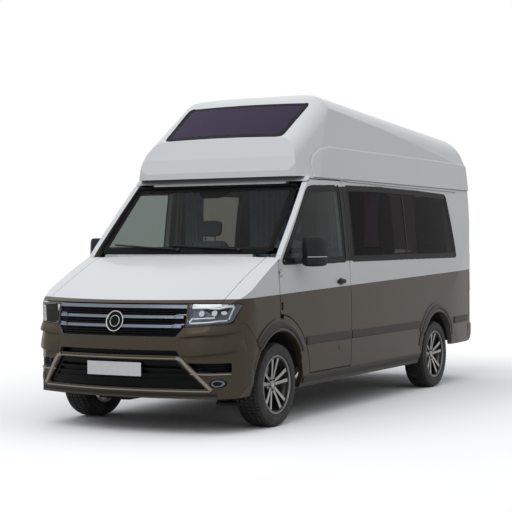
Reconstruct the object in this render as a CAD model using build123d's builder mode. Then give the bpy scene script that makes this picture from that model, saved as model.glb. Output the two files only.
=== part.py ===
from build123d import *
from math import asin, cos, degrees, radians, sin, sqrt, tan
import os

# High-roof camper van with opening doors, bonnet and steered front wheels.
#
# Millimetres. X runs across the van (+X is its left side), Y along it (the rear is +Y),
# Z is up from the ground. The origin is on the ground at mid-length.

os.makedirs("parts", exist_ok=True)

# ---------------------------------------------------------------- overall sizes
LENGTH = 5986
BODY_WIDTH = 2016
HEIGHT = 2970
WHEELBASE = 3640
FRONT_OVERHANG = 1000
ROOF_JOINT_Z = 2140
SILL_Z = 292
NOSE_BOTTOM_Z = 320
TAIL_BOTTOM_Z = 430

# ---------------------------------------------------------------- walls and gaps
WALL = 50
ROOF_WALL = 30
HOOD_THICKNESS = 32
GLASS = 5
GLASS_BED = 0.3
GLASS_EDGE = 2
GLASS_RIM = 40
DOOR_GAP = 9
PANEL_GAP = 5
SEAT_GAP = 0.3
FLARE_HEIGHT = 10

# ---------------------------------------------------------------- nose and cab
COWL = 1079
COWL_Z = 1443
NOSE_PLAN_RADIUS = 2400
NOSE_CORNER_RADIUS = 605
NOSE_CORNER_BACK = 612
HOOD_EDGE_Z = 1063
HOOD_HALF_WIDTH = 855
HOOD_REAR = 1046
COWL_REAR = 1092
COWL_HALF_WIDTH = 855
SEAM = 3
WINDSCREEN_SLOPE = 642 / 638
GRILLE_Z = 797
GRILLE_HALF_TOP = 618
GRILLE_HALF_BOTTOM = 552
EMBLEM_Z = 918
EMBLEM_RADIUS = 84
LOWER_GRILLE_ROWS = 4
RADIATOR_BACK = 160
GRILLE_DEPTH = 20
LAMP_WALL = 30
CARRIER_DEPTH = 130
REAR_BUMPER_STEP = 26

# ---------------------------------------------------------------- high roof
ROOF_FALL = 3.6
BROW_RISE = 33.4
SHOULDER_TURN = 72
SHOULDER_REACH = 4400
ROOF_BAND_STEP = 12

# ---------------------------------------------------------------- floor and bay
FLOOR_TOP_Z = 560
FLOOR_THICKNESS = 60
RAIL_X = 420
RAIL_DEPTH = 85
RAIL_FRONT = 420
RAIL_REAR = 5880
TOW_PAD = 6
TOW_PAD_RUN = (5560, 5740)

# ---------------------------------------------------------------- wheels
WHEEL_RADIUS = 353
TYRE_WIDTH = 235
WHEEL_OUTER_X = 988
ARCH_RADIUS = 450
FLARE_RADIUS = 556
LINER_WALL = 6
LINER_INNER_X = 560
HUB_INNER_X = 850
STUB_END_X = 902
STUB_RADIUS = 20
SPOKE_PAIRS = 5
SPRING_X = 500
KINGPIN_X = 800
KINGPIN_Z = 200
KINGPIN_TILT = 13
STRUT_TOP = 590
STRUT_RADIUS = 26
BALL_RADIUS = 14

# ---------------------------------------------------------------- cab and living space
SEAT_X = 430
SEAT_BACK = 1700
SEAT_BASE_Z = 900
WHEEL_BACK = 1620
STEERING_Z = 1280
STEERING_RADIUS = 190
STEERING_RIM = 15
COLUMN_RAKE = 62
COLUMN_LENGTH = 210
COLUMN_RADIUS = 20
BENCH_X = 470
MIRROR_Z = (1340, 1600)
MIRROR_REACH = 1213

# ---------------------------------------------------------------- doors
DOOR_AXIS_X = 990
DOOR_AXIS_BACK = 1042
DOOR_HINGES = (1010, 1290)
HINGE_NOTCH = 30
HINGE_PIN = 6
HINGE_RELIEF = 36
REAR_AXIS_X = 862
REAR_AXIS_BACK = 5926
REAR_HINGES = (860, 1780)
REAR_NOTCH = 18
HOOD_AXIS_Z = 1411
HOOD_PIN = 4
HOOD_BARREL = 7
COWL_TOP_Z = 1405
COWL_BOTTOM_Z = 1360

HALF_WIDTH = BODY_WIDTH / 2
FLOOR_BOTTOM_Z = FLOOR_TOP_Z - FLOOR_THICKNESS
FRONT_AXLE = FRONT_OVERHANG
REAR_AXLE = FRONT_OVERHANG + WHEELBASE
TYRE_X = WHEEL_OUTER_X - TYRE_WIDTH / 2
SIDES = (("left", 1), ("right", -1))

# places beyond the body, where a cutting shape ends
AHEAD = -100
BEHIND = 6100
BESIDE = 1100


def back(distance):
    """Y of a place, from its distance behind the front bumper."""
    return distance - LENGTH / 2


def places(table):
    """Sketch points on a side plane, from (distance behind the bumper, height) rows."""
    return [(back(distance), height) for distance, height in table]


def finish(piece, name):
    """Label a finished piece and write it to its own file."""
    piece.part.label = name
    export_step(piece.part, "parts/" + name + ".step")


# ================================================================ body forms
def section_form(inset, depth=4 * LENGTH):
    """The cross-section of the body sides, run along the whole van."""
    with BuildPart() as form:
        with BuildSketch(Plane.XZ):
            with BuildLine():
                foot = Polyline(
                    (0, 100), (930, 100), (958, SILL_Z), (998, 400), (HALF_WIDTH, 700), (HALF_WIDTH, 1000),
                )
                flank = ThreePointArc(foot @ 1, (981, 1480), (905, ROOF_JOINT_Z))
                Polyline(flank @ 1, (878, 2304), (0, 2304))
                mirror(about=Plane.YZ)
            make_face()
            if inset:
                offset(amount=-inset, kind=Kind.INTERSECTION)
        extrude(amount=depth / 2, both=True)
    return form.part


def plan_form(inset):
    """The outline of the body seen from above, run up its height."""
    corner_x = HALF_WIDTH - NOSE_CORNER_RADIUS

    def on_corner(angle):
        reach = NOSE_CORNER_RADIUS
        return (corner_x + reach * sin(radians(angle)), back(NOSE_CORNER_BACK - reach * cos(radians(angle))))

    with BuildPart() as form:
        with BuildSketch(Plane.XY):
            with BuildLine():
                front = Line((0, back(-20)), on_corner(7))
                corner = ThreePointArc(front @ 1, on_corner(50), on_corner(90))
                side = Line(corner @ 1, (HALF_WIDTH, back(4700)))
                taper = ThreePointArc(side @ 1, (1002, back(5250)), (972, back(5700)))
                tail = ThreePointArc(taper @ 1, (915, back(5866)), (760, back(5946)))
                ThreePointArc(tail @ 1, (400, back(5957)), (0, back(5960)))
                mirror(about=Plane.YZ)
            make_face()
            if inset:
                offset(amount=-inset, kind=Kind.INTERSECTION)
        extrude(amount=1.1 * HEIGHT)
    return form.part


def cabin_form(inset):
    """The body behind the bonnet, from below the sills to above the roof joint."""
    top_z = 2302
    with BuildPart() as form:
        with BuildSketch(Plane.YZ):
            with BuildLine():
                rise = (top_z - COWL_Z) / WINDSCREEN_SLOPE
                front = Polyline(*places([(COWL, 102), (COWL, COWL_Z), (COWL + rise, top_z), (5925, top_z)]))
                rear = ThreePointArc(front @ 1, *places([(5952, 1700), (5958, 1100)]))
                Polyline(rear @ 1, *places([(5958, 102), (COWL, 102)]))
            make_face()
            if inset:
                offset(amount=-inset, kind=Kind.INTERSECTION)
        extrude(amount=BODY_WIDTH, both=True)
        add(section_form(inset), mode=Mode.INTERSECT)
        add(plan_form(inset), mode=Mode.INTERSECT)
    return form.part


# the bonnet's crown: distance behind the bumper, height at the middle, fall at the sides
HOOD_CROWN = ((-60, 985, 190), (560, 1296, 130), (COWL, COWL_Z, 14))


def crown_form(inset):
    """The crowned top of the nose, falling away to the sides."""
    with BuildPart() as form:
        for distance, height, fall in HOOD_CROWN:
            with BuildSketch(Plane.XZ.offset(-back(distance))):
                with BuildLine():
                    sides_z = height - fall - inset
                    top = ThreePointArc((-1050, sides_z), (0, height - inset), (1050, sides_z))
                    Polyline(top @ 1, (1050, 60), (-1050, 60), top @ 0)
                make_face()
        loft()
    return form.part


def front_form(inset):
    """The nose's front, curved in plan about an axis far behind it."""
    with BuildPart() as form:
        with BuildSketch(Plane.YZ):
            with BuildLine():
                Polyline(*places([
                    (NOSE_PLAN_RADIUS + 200, 102), (70, 102), (60, NOSE_BOTTOM_Z), (2, 600), (-1, 700),
                    (4, GRILLE_Z), (72, HOOD_EDGE_Z), (130, 1700), (NOSE_PLAN_RADIUS + 200, 1700),
                ]), close=True)
            make_face()
            if inset:
                offset(amount=-inset, kind=Kind.INTERSECTION)
            with Locations((back(NOSE_PLAN_RADIUS / 2), 900)):
                Rectangle(NOSE_PLAN_RADIUS, 4 * 900, mode=Mode.INTERSECT)
        revolve(axis=Axis((0, back(NOSE_PLAN_RADIUS), 0), (0, 0, 1)))
    return form.part


def nose_form(inset):
    """The body ahead of the windscreen, with a crowned bonnet and a curved front."""
    with BuildPart() as form:
        add(crown_form(inset))
        add(front_form(inset), mode=Mode.INTERSECT)
        add(section_form(inset), mode=Mode.INTERSECT)
        add(plan_form(inset), mode=Mode.INTERSECT)
    return form.part


def body_form(inset):
    """The whole body below the roof joint, from below the sills to above the joint."""
    with BuildPart() as form:
        add(nose_form(inset))
        add(cabin_form(inset))
    return form.part


def shoulder_form(start, tilt, crown_radius, flat, shoulder_radius, inset):
    """A long bar with a crowned top and round shoulders, tilted down towards the rear."""
    lean = degrees(asin(flat / crown_radius))
    drop = crown_radius - sqrt(crown_radius**2 - flat**2)
    half = flat / 2
    half_drop = crown_radius - sqrt(crown_radius**2 - half**2)
    turn = SHOULDER_TURN

    def around(angle):
        return Vector(shoulder_radius * sin(radians(angle)), shoulder_radius * cos(radians(angle)))

    def on_shoulder(angle):
        return Vector(flat, -drop) - around(lean) + around(angle)

    run = (0, cos(radians(tilt)), -sin(radians(tilt)))
    with BuildPart() as form:
        with BuildSketch(Plane(origin=start, x_dir=(-1, 0, 0), z_dir=run)):
            with BuildLine():
                crown = ThreePointArc((0, 0), (half, -half_drop), (flat, -drop))
                edge = ThreePointArc(crown @ 1, on_shoulder((lean + turn) / 2), on_shoulder(turn))
                foot = edge @ 1 + SHOULDER_REACH * Vector(cos(radians(turn)), -sin(radians(turn)))
                Polyline(edge @ 1, foot, (0, foot.Y))
                mirror(about=Plane.YZ)
            make_face()
            if inset:
                offset(amount=-inset, kind=Kind.INTERSECTION)
        extrude(amount=LENGTH, both=True)
    return form.part


# the roof's face seen from the side, from the windscreen's top edge up to the roof window's
ROOF_FACE = ((1658, 2000), (1658, 2195), (1698, 2322), (1788, 2519), (2330, 2876))


def roof_form(inset):
    """The high roof, with a sloping window face and rounded shoulders."""
    with BuildPart() as form:
        with BuildSketch(Plane.YZ):
            with BuildLine():
                front = Polyline(*places(ROOF_FACE))
                peak = ThreePointArc(front @ 1, *places([(2540, 2954), (2800, HEIGHT)]))
                top = Line(peak @ 1, *places([(5450, 2826)]))
                rear = ThreePointArc(top @ 1, *places([(5800, 2680), (5925, 2400)]))
                Polyline(rear @ 1, *places([(5942, 2000), (1658, 2000)]))
            make_face()
            if inset:
                offset(amount=-inset, kind=Kind.INTERSECTION)
        extrude(amount=BODY_WIDTH, both=True)
        with BuildSketch(Plane.XZ):
            with BuildLine():
                Polyline((928, 2000), (747, 3100), (-747, 3100), (-928, 2000), close=True)
            make_face()
            if inset:
                offset(amount=-inset, kind=Kind.INTERSECTION)
        extrude(amount=LENGTH, both=True, mode=Mode.INTERSECT)
        with BuildSketch(Plane.XY.offset(1900)):
            with BuildLine():
                bow = ThreePointArc((-735, back(1658)), (0, back(1640)), (735, back(1658)))
                left = ThreePointArc(bow @ 1, (868, back(1716)), (922, back(1850)))
                right = ThreePointArc(bow @ 0, (-868, back(1716)), (-922, back(1850)))
                Polyline(left @ 1, (922, back(BEHIND)), (-922, back(BEHIND)), right @ 1)
            make_face()
            if inset:
                offset(amount=-inset, kind=Kind.INTERSECTION)
        extrude(amount=1300, mode=Mode.INTERSECT)
        add(plan_form(inset), mode=Mode.INTERSECT)
        add(shoulder_form((0, back(3000), HEIGHT), ROOF_FALL, 2900, 600, 300, inset), mode=Mode.INTERSECT)
        add(shoulder_form((0, back(1795), 2520), -BROW_RISE, 20000, 640, 190, inset), mode=Mode.INTERSECT)
    return form.part


# ================================================================ cutting shapes
def x_range(side, near, far):
    """An ordered x range on one side of the van, from distances off its middle."""
    return tuple(sorted((side * near, side * far)))


def side_prism(outline, side, corner=0, grow=0, reach=(600, 1150)):
    """A bar across one side of the van, from an outline seen from that side."""
    with BuildPart() as prism:
        with BuildSketch(Plane.YZ.offset(side * reach[0])):
            with BuildLine():
                Polyline(*places(outline), close=True)
            make_face()
            if corner:
                fillet(vertices(), corner)
            if grow:
                offset(amount=grow, kind=Kind.INTERSECTION)
        extrude(amount=side * (reach[1] - reach[0]))
    return prism.part


def end_prism(outline, near, far, corner=0, grow=0):
    """A bar along the van, from an outline seen from the front, between two distances."""
    with BuildPart() as prism:
        with BuildSketch(Plane.XZ.offset(-back(near))):
            with BuildLine():
                Polyline(*outline, close=True)
            make_face()
            if corner:
                fillet(vertices(), corner)
            if grow:
                offset(amount=grow, kind=Kind.INTERSECTION)
        extrude(amount=near - far)
    return prism.part


def both_sides(outline):
    """A symmetric outline seen from the front, from the points of its left half."""
    return list(outline) + [(-x, z) for x, z in reversed(outline)]


def block(x, y, z, corner=0):
    """A box between pairs of x, distances behind the bumper and heights."""
    with BuildPart() as box:
        with BuildSketch(Plane.XY.offset(z[0])):
            with Locations(((x[0] + x[1]) / 2, back((y[0] + y[1]) / 2))):
                Rectangle(x[1] - x[0], y[1] - y[0])
            if corner:
                fillet(vertices(), corner)
        extrude(amount=z[1] - z[0])
    return box.part


def axle_bar(radius, distance, height, x):
    """A round bar across the van between two x places."""
    with BuildPart() as bar:
        with BuildSketch(Plane.YZ.offset(x[0])):
            with Locations((back(distance), height)):
                Circle(radius)
        extrude(amount=x[1] - x[0])
    return bar.part


def post(radius, x, distance, z):
    """An upright round bar between two heights."""
    with BuildPart() as bar:
        with BuildSketch(Plane.XY.offset(z[0])):
            with Locations((x, back(distance))):
                Circle(radius)
        extrude(amount=z[1] - z[0])
    return bar.part


# ================================================================ outlines
# seen from the side: distance behind the bumper, height
CAB_DOOR = (
    (1020, 960), (1020, 1372), (1640, 2052), (1790, 2112), (2440, 2120), (2440, 408), (1592, 408),
)
CAB_GLASS = ((1082, 1372), (1700, 2028), (1800, 2046), (2372, 2070), (2372, 1374))
SLIDE_DOOR = ((2560, 404), (2560, 2120), (3850, 2124), (3850, 404))
SLIDE_GLASS = ((2610, 1376), (2610, 2076), (3800, 2084), (3800, 1380))
LEFT_GLASS = ((2500, 1376), (2500, 2074), (3300, 2087), (4350, 2081), (5128, 2064), (5282, 1386))
REAR_GLASS = ((3912, 1380), (3912, 2085), (4350, 2081), (5128, 2064), (5282, 1386))
WINDOWS = ((2590, 3560), (4150, 5030))
BUMPER_SIDE = ((AHEAD, 300), (700, 300), (700, 640), (440, 905), (AHEAD, 905))
# seen from the front: x, height
WINDSCREEN = ((884, 1462), (840, 2068))
REAR_DOOR = ((4, 640), (4, 2090), (800, 2070), (842, 1800), (848, 640))
REAR_DOOR_OPENING = tuple(reversed(REAR_DOOR[1:]))
REAR_DOOR_GLASS = ((90, 1390), (90, 2010), (720, 1995), (762, 1400))
LAMP = ((628, 885), (935, 905), (980, 1056), (645, 1056))
GRILLE = ((GRILLE_HALF_BOTTOM, GRILLE_Z), (GRILLE_HALF_TOP, 880), (GRILLE_HALF_TOP, 1056))
BUMPER_FRONT = ((1060, 300), (1060, 893), (935, 893), (612, 872), (GRILLE_HALF_BOTTOM, GRILLE_Z))
LOWER_GRILLE = ((775, 378), (560, 612))
BUMPER_SLOT = ((590, 645), (560, 690))
SIDE_SLOT = ((690, 512), (930, 505), (930, 585), (630, 592))
# seen from above: x, distance behind the bumper
ROOF_WINDOW = ((620, 1798), (645, 2318))

section_wall = section_form(WALL)
section_glass = section_form(GLASS)
section_bed = section_form(GLASS + GLASS_BED)
nose_outer = nose_form(0)
outer = body_form(0)
cabin_wall = cabin_form(WALL)
nose_wall = nose_form(WALL)
cabin_glass = cabin_form(GLASS)
cabin_bed = cabin_form(GLASS + GLASS_BED)


def arch_ring(distance, inner, outside, x):
    """A ring about a wheel's axis, across both sides of the van."""
    with BuildPart() as ring:
        with BuildSketch(Plane.YZ.offset(x[0])):
            with Locations((back(distance), WHEEL_RADIUS)):
                Circle(outside)
                if inner:
                    Circle(inner, mode=Mode.SUBTRACT)
        extrude(amount=x[1] - x[0])
    return ring.part


def wheel_opening(distance, side):
    """The room that a wheel arch and its lining take out of the body."""
    inner_x = LINER_INNER_X - LINER_WALL - SEAT_GAP
    liner_reach = ARCH_RADIUS + LINER_WALL + SEAT_GAP
    with BuildPart() as opening:
        add(arch_ring(distance, 0, ARCH_RADIUS, x_range(side, inner_x, BESIDE)))
        add(arch_ring(distance, 0, liner_reach, x_range(side, inner_x, HALF_WIDTH - WALL)))
    return opening.part


def liner_room(distance, side):
    """The room that inner fittings leave around a wheel's lining."""
    return arch_ring(distance, 0, ARCH_RADIUS + 10, x_range(side, LINER_INNER_X - 10, BESIDE))


def cab_door_prism(side, grow=0):
    """The cab door's outline: it curves round the wheel arch at its front."""
    with BuildPart() as prism:
        with BuildSketch(Plane.YZ.offset(side * 700)):
            with BuildLine():
                Polyline(*places(CAB_DOOR), close=True)
            make_face()
            fillet(vertices().group_by(Axis.Y)[-1], 45)
            with Locations((back(FRONT_AXLE), WHEEL_RADIUS)):
                Circle(FLARE_RADIUS + 36, mode=Mode.SUBTRACT)
            if grow:
                offset(amount=grow, kind=Kind.INTERSECTION)
        extrude(amount=side * 400)
    return prism.part


# ================================================================ body shell
outer_flare = body_form(-FLARE_HEIGHT)
HOOD_BOX = ((-HOOD_HALF_WIDTH, HOOD_HALF_WIDTH), (AHEAD, HOOD_REAR), (HOOD_EDGE_Z, 1600))
BUMPER_ZONE = both_sides(BUMPER_FRONT)
GRILLE_ZONE = both_sides(GRILLE)
WINDSCREEN_ZONE = both_sides(WINDSCREEN)
REAR_BUMPER_TOP = 630
REAR_BUMPER_FRONT = 5660


def lamp_prism(side, grow=0):
    """The headlight's outline, seen from the front."""
    return end_prism([(side * x, z) for x, z in LAMP], AHEAD, 640, corner=14, grow=grow)


def bumper_prism(grow=0):
    """The front bumper's outline from the front and from the side."""
    with BuildPart() as prism:
        add(end_prism(BUMPER_ZONE, AHEAD, 760, grow=grow))
        with BuildSketch(Plane.YZ):
            with BuildLine():
                Polyline(*places(BUMPER_SIDE), close=True)
            make_face()
            if grow:
                offset(amount=grow, kind=Kind.INTERSECTION)
        extrude(amount=BODY_WIDTH, both=True, mode=Mode.INTERSECT)
    return prism.part


def tail_lamp_box(side, grow=0):
    """The tail lamp's corner of the body."""
    x = sorted((side * (880 - grow), side * BESIDE))
    return block(x, (5780 - grow, BEHIND), (980 - grow, 1440 + grow))


def grown(box, gap):
    """A box's ranges, wider by a gap on every side."""
    return tuple((low - gap, high + gap) for low, high in box)


with BuildPart() as flares:
    for axle in (FRONT_AXLE, REAR_AXLE):
        add(arch_ring(axle, ARCH_RADIUS - 30, FLARE_RADIUS, (-BESIDE, BESIDE)))
    add(outer_flare, mode=Mode.INTERSECT)
    add(section_wall, mode=Mode.SUBTRACT)
    with Locations((0, 0, 300)):
        Box(2 * BODY_WIDTH, 2 * LENGTH, 640, mode=Mode.SUBTRACT)


def skin_of(prism, core):
    """What a cutting bar takes off the outside of a form."""
    with BuildPart() as skin:
        add(prism)
        add(core, mode=Mode.SUBTRACT)
    return skin.part


def hinge_lugs(x, distance, heights):
    """The fixed half of upright pin hinges: a pin between two lugs that reach forward to the body."""
    with BuildPart() as lugs:
        for height in heights:
            add(post(HINGE_PIN, x, distance, (height - 28, height + 28)))
            for low in (height - 28, height + 20):
                add(post(11, x, distance, (low, low + 8)))
                add(block((x - 11, x + 11), (distance - HINGE_RELIEF - 6, distance), (low, low + 8)))
    return lugs.part


def hinge_room(x, distance, heights, radius):
    """The notches that a door's edge needs around the hinge lugs."""
    with BuildPart() as room:
        for height in heights:
            add(post(radius, x, distance, (height - 31, height + 31)))
    return room.part


def hinge_knuckles(x, distance, heights, arm):
    """The moving half: a bored barrel on each pin with an arm to the door, given as a reach in x and in y."""
    with BuildPart() as knuckles:
        for height in heights:
            level = (height - 19, height + 19)
            add(post(11, x, distance, level))
            if arm[0]:
                add(block(tuple(sorted((x, x + arm[0]))), (distance - 6, distance + 6), level))
            else:
                add(block((x - 8, x + 8), (distance, distance + arm[1]), level))
            add(post(HINGE_PIN + SEAT_GAP, x, distance, level), mode=Mode.SUBTRACT)
    return knuckles.part


with BuildPart() as body_shell:
    add(outer)
    add(cabin_wall, mode=Mode.SUBTRACT)
    add(nose_wall, mode=Mode.SUBTRACT)
    add(block((-560, 560), (1000, 1400), (0, FLOOR_BOTTOM_Z)), mode=Mode.SUBTRACT)
    add(flares.part)
    for axle in (FRONT_AXLE, REAR_AXLE):
        for side in (1, -1):
            add(wheel_opening(axle, side), mode=Mode.SUBTRACT)
    add(block((-BESIDE, BESIDE), (AHEAD, BEHIND), (ROOF_JOINT_Z, 2500)), mode=Mode.SUBTRACT)
    add(block((-BESIDE, BESIDE), (AHEAD, BEHIND), (0, SILL_Z)), mode=Mode.SUBTRACT)
    nose_y = (AHEAD, FRONT_AXLE - ARCH_RADIUS + 40)
    add(block((-BESIDE, BESIDE), nose_y, (0, NOSE_BOTTOM_Z)), mode=Mode.SUBTRACT)
    add(block((-BESIDE, BESIDE), (REAR_AXLE + 300, BEHIND), (0, TAIL_BOTTOM_Z)), mode=Mode.SUBTRACT)
    add(block((-BESIDE, BESIDE), (REAR_BUMPER_FRONT, BEHIND), (0, REAR_BUMPER_TOP)), mode=Mode.SUBTRACT)
    # the bonnet, cowl, bumper, grille and headlights fill the front
    add(block(*grown(HOOD_BOX, PANEL_GAP)), mode=Mode.SUBTRACT)
    cowl_cut = block((-COWL_HALF_WIDTH, COWL_HALF_WIDTH), (HOOD_REAR - 1, COWL_REAR), (COWL_BOTTOM_Z, 1600))
    add(cowl_cut, mode=Mode.SUBTRACT)
    add(bumper_prism(SEAM), mode=Mode.SUBTRACT)
    add(end_prism(GRILLE_ZONE, AHEAD, 640, grow=SEAM), mode=Mode.SUBTRACT)
    for side in (1, -1):
        add(lamp_prism(side, SEAM), mode=Mode.SUBTRACT)
        add(skin_of(tail_lamp_box(side, SEAM), cabin_form(LAMP_WALL + SEAT_GAP)), mode=Mode.SUBTRACT)
        add(cab_door_prism(side, DOOR_GAP), mode=Mode.SUBTRACT)
        add(post(HINGE_RELIEF, side * DOOR_AXIS_X, DOOR_AXIS_BACK, (900, 1400)), mode=Mode.SUBTRACT)
    # windows: the glass lies in a shallow bed, the opening behind it is smaller
    add(end_prism(WINDSCREEN_ZONE, 700, 2000, corner=60, grow=-GLASS_RIM), mode=Mode.SUBTRACT)
    add(side_prism(SLIDE_DOOR, -1, corner=45, grow=PANEL_GAP), mode=Mode.SUBTRACT)
    for low, high in WINDOWS:
        side_window = ((low, 1416), (low, 2034), (high, 2034), (high, 1416))
        add(side_prism(side_window, 1, corner=60), mode=Mode.SUBTRACT)
        if low > SLIDE_DOOR[2][0]:
            add(side_prism(side_window, -1, corner=60), mode=Mode.SUBTRACT)
    add(end_prism(both_sides(REAR_DOOR_OPENING), 5800, BEHIND, grow=PANEL_GAP), mode=Mode.SUBTRACT)

    screen_bed = skin_of(end_prism(WINDSCREEN_ZONE, 700, 2000, corner=60, grow=GLASS_EDGE), cabin_bed)
    add(screen_bed, mode=Mode.SUBTRACT)
    add(skin_of(side_prism(LEFT_GLASS, 1, corner=45, grow=GLASS_EDGE), section_bed), mode=Mode.SUBTRACT)
    add(skin_of(side_prism(REAR_GLASS, -1, corner=45, grow=GLASS_EDGE), section_bed), mode=Mode.SUBTRACT)
    # hinge pins and their lugs for the cab doors, rear doors and bonnet
    for side in (1, -1):
        add(hinge_lugs(side * DOOR_AXIS_X, DOOR_AXIS_BACK, DOOR_HINGES))
        add(hinge_lugs(side * REAR_AXIS_X, REAR_AXIS_BACK, REAR_HINGES))
        pin_x = x_range(side, HOOD_HALF_WIDTH - 17, HOOD_HALF_WIDTH + 14)
        add(axle_bar(HOOD_PIN, HOOD_REAR, HOOD_AXIS_Z, pin_x))
finish(body_shell, "body_shell")


# ================================================================ high roof
roof_outer = roof_form(0)
ROOF_BAND = (
    (1890, 2100), (1900, 2250), (1960, 2330), (2090, 2395), (2290, 2424), (5424, 2430),
    (BEHIND, 2420), (BEHIND, 2100),
)
with BuildPart() as roof_band:
    add(side_prism(ROOF_BAND, 1, reach=(-BESIDE, BESIDE)))
    add(roof_form(-ROOF_BAND_STEP), mode=Mode.INTERSECT)
    add(roof_form(ROOF_WALL), mode=Mode.SUBTRACT)


def roof_window_prism(grow=0):
    """The slanted roof window's outline, seen from above."""
    with BuildPart() as prism:
        with BuildSketch(Plane.XY.offset(2300)):
            with BuildLine():
                Polyline(*[(x, back(y)) for x, y in both_sides(ROOF_WINDOW)], close=True)
            make_face()
            fillet(vertices(), 20)
            if grow:
                offset(amount=grow, kind=Kind.INTERSECTION)
        extrude(amount=700)
    return prism.part


with BuildPart() as high_roof:
    add(roof_outer)
    add(roof_band.part)
    add(roof_form(ROOF_WALL), mode=Mode.SUBTRACT)
    add(block((-BESIDE, BESIDE), (1500, BEHIND), (1900, ROOF_JOINT_Z)), mode=Mode.SUBTRACT)
    add(roof_window_prism(-GLASS_RIM), mode=Mode.SUBTRACT)
    roof_bed = skin_of(roof_window_prism(GLASS_EDGE), roof_form(GLASS + GLASS_BED))
    add(roof_bed, mode=Mode.SUBTRACT)
finish(high_roof, "high_roof")

with BuildPart() as roof_window:
    add(roof_window_prism())
    add(roof_outer, mode=Mode.INTERSECT)
    add(roof_form(GLASS), mode=Mode.SUBTRACT)
finish(roof_window, "roof_window")

# ================================================================ fixed glass
with BuildPart() as windscreen:
    add(end_prism(WINDSCREEN_ZONE, 700, 2000, corner=60))
    add(outer, mode=Mode.INTERSECT)
    add(cabin_glass, mode=Mode.SUBTRACT)
finish(windscreen, "windscreen")

with BuildPart() as side_windows:
    for outline, side in ((LEFT_GLASS, 1), (REAR_GLASS, -1), (SLIDE_GLASS, -1)):
        add(side_prism(outline, side, corner=45))
    add(outer, mode=Mode.INTERSECT)
    add(section_glass, mode=Mode.SUBTRACT)
finish(side_windows, "side_windows")

# ================================================================ doors
CAB_WINDOW_INSET = 34

for name, side in SIDES:
    axis_x = side * DOOR_AXIS_X
    with BuildPart() as door:
        add(cab_door_prism(side))
        add(outer, mode=Mode.INTERSECT)
        add(section_wall, mode=Mode.SUBTRACT)
        add(side_prism(CAB_GLASS, side, corner=45, grow=-CAB_WINDOW_INSET), mode=Mode.SUBTRACT)
        add(skin_of(side_prism(CAB_GLASS, side, corner=45, grow=GLASS_EDGE), section_bed), mode=Mode.SUBTRACT)
        add(hinge_room(axis_x, DOOR_AXIS_BACK, DOOR_HINGES, HINGE_NOTCH), mode=Mode.SUBTRACT)
        add(hinge_knuckles(axis_x, DOOR_AXIS_BACK, DOOR_HINGES, (0, HINGE_NOTCH + 8)))
    finish(door, "cab_door_" + name)
    with BuildPart() as glass:
        add(side_prism(CAB_GLASS, side, corner=45))
        add(outer, mode=Mode.INTERSECT)
        add(section_glass, mode=Mode.SUBTRACT)
    finish(glass, "cab_door_glass_" + name)

with BuildPart() as sliding_door:
    add(side_prism(SLIDE_DOOR, -1, corner=45))
    add(outer, mode=Mode.INTERSECT)
    add(section_wall, mode=Mode.SUBTRACT)
    add(side_prism(SLIDE_GLASS, -1, corner=45, grow=-GLASS_RIM), mode=Mode.SUBTRACT)
    add(skin_of(side_prism(SLIDE_GLASS, -1, corner=45, grow=GLASS_EDGE), section_bed), mode=Mode.SUBTRACT)
finish(sliding_door, "sliding_door")

for name, side in SIDES:
    rear_outline = [(side * x, z) for x, z in REAR_DOOR]
    glass_outline = [(side * x, z) for x, z in REAR_DOOR_GLASS]
    with BuildPart() as door:
        add(end_prism(rear_outline, 5800, BEHIND))
        add(outer, mode=Mode.INTERSECT)
        add(cabin_wall, mode=Mode.SUBTRACT)
        add(end_prism(glass_outline, 5800, BEHIND, corner=40, grow=-GLASS_RIM), mode=Mode.SUBTRACT)
        glass_bed = skin_of(end_prism(glass_outline, 5800, BEHIND, corner=40, grow=GLASS_EDGE), cabin_bed)
        add(glass_bed, mode=Mode.SUBTRACT)
        axis_x = side * REAR_AXIS_X
        add(hinge_room(axis_x, REAR_AXIS_BACK, REAR_HINGES, REAR_NOTCH), mode=Mode.SUBTRACT)
        add(hinge_knuckles(axis_x, REAR_AXIS_BACK, REAR_HINGES, (-50 * side, 0)))
    finish(door, "rear_door_" + name)
    with BuildPart() as glass:
        add(end_prism(glass_outline, 5800, BEHIND, corner=40))
        add(outer, mode=Mode.INTERSECT)
        add(cabin_glass, mode=Mode.SUBTRACT)
    finish(glass, "rear_door_glass_" + name)

# ================================================================ bonnet and front
with BuildPart() as hood:
    add(block(*HOOD_BOX))
    add(outer, mode=Mode.INTERSECT)
    add(nose_form(HOOD_THICKNESS), mode=Mode.SUBTRACT)
    for side in (1, -1):
        barrel_x = x_range(side, HOOD_HALF_WIDTH - 15, HOOD_HALF_WIDTH - 2)
        add(axle_bar(HOOD_BARREL, HOOD_REAR, HOOD_AXIS_Z, barrel_x))
        bore_x = x_range(side, HOOD_HALF_WIDTH - 22, HOOD_HALF_WIDTH + 1)
        add(axle_bar(HOOD_PIN + SEAT_GAP, HOOD_REAR, HOOD_AXIS_Z, bore_x), mode=Mode.SUBTRACT)
finish(hood, "hood")

with BuildPart() as cowl_panel:
    cowl_x = COWL_HALF_WIDTH - SEAT_GAP
    cowl_z = (COWL_BOTTOM_Z + SEAT_GAP, COWL_TOP_Z)
    add(block((-cowl_x, cowl_x), (HOOD_REAR + 8, COWL_REAR - SEAT_GAP), cowl_z))
finish(cowl_panel, "cowl_panel")

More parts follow.
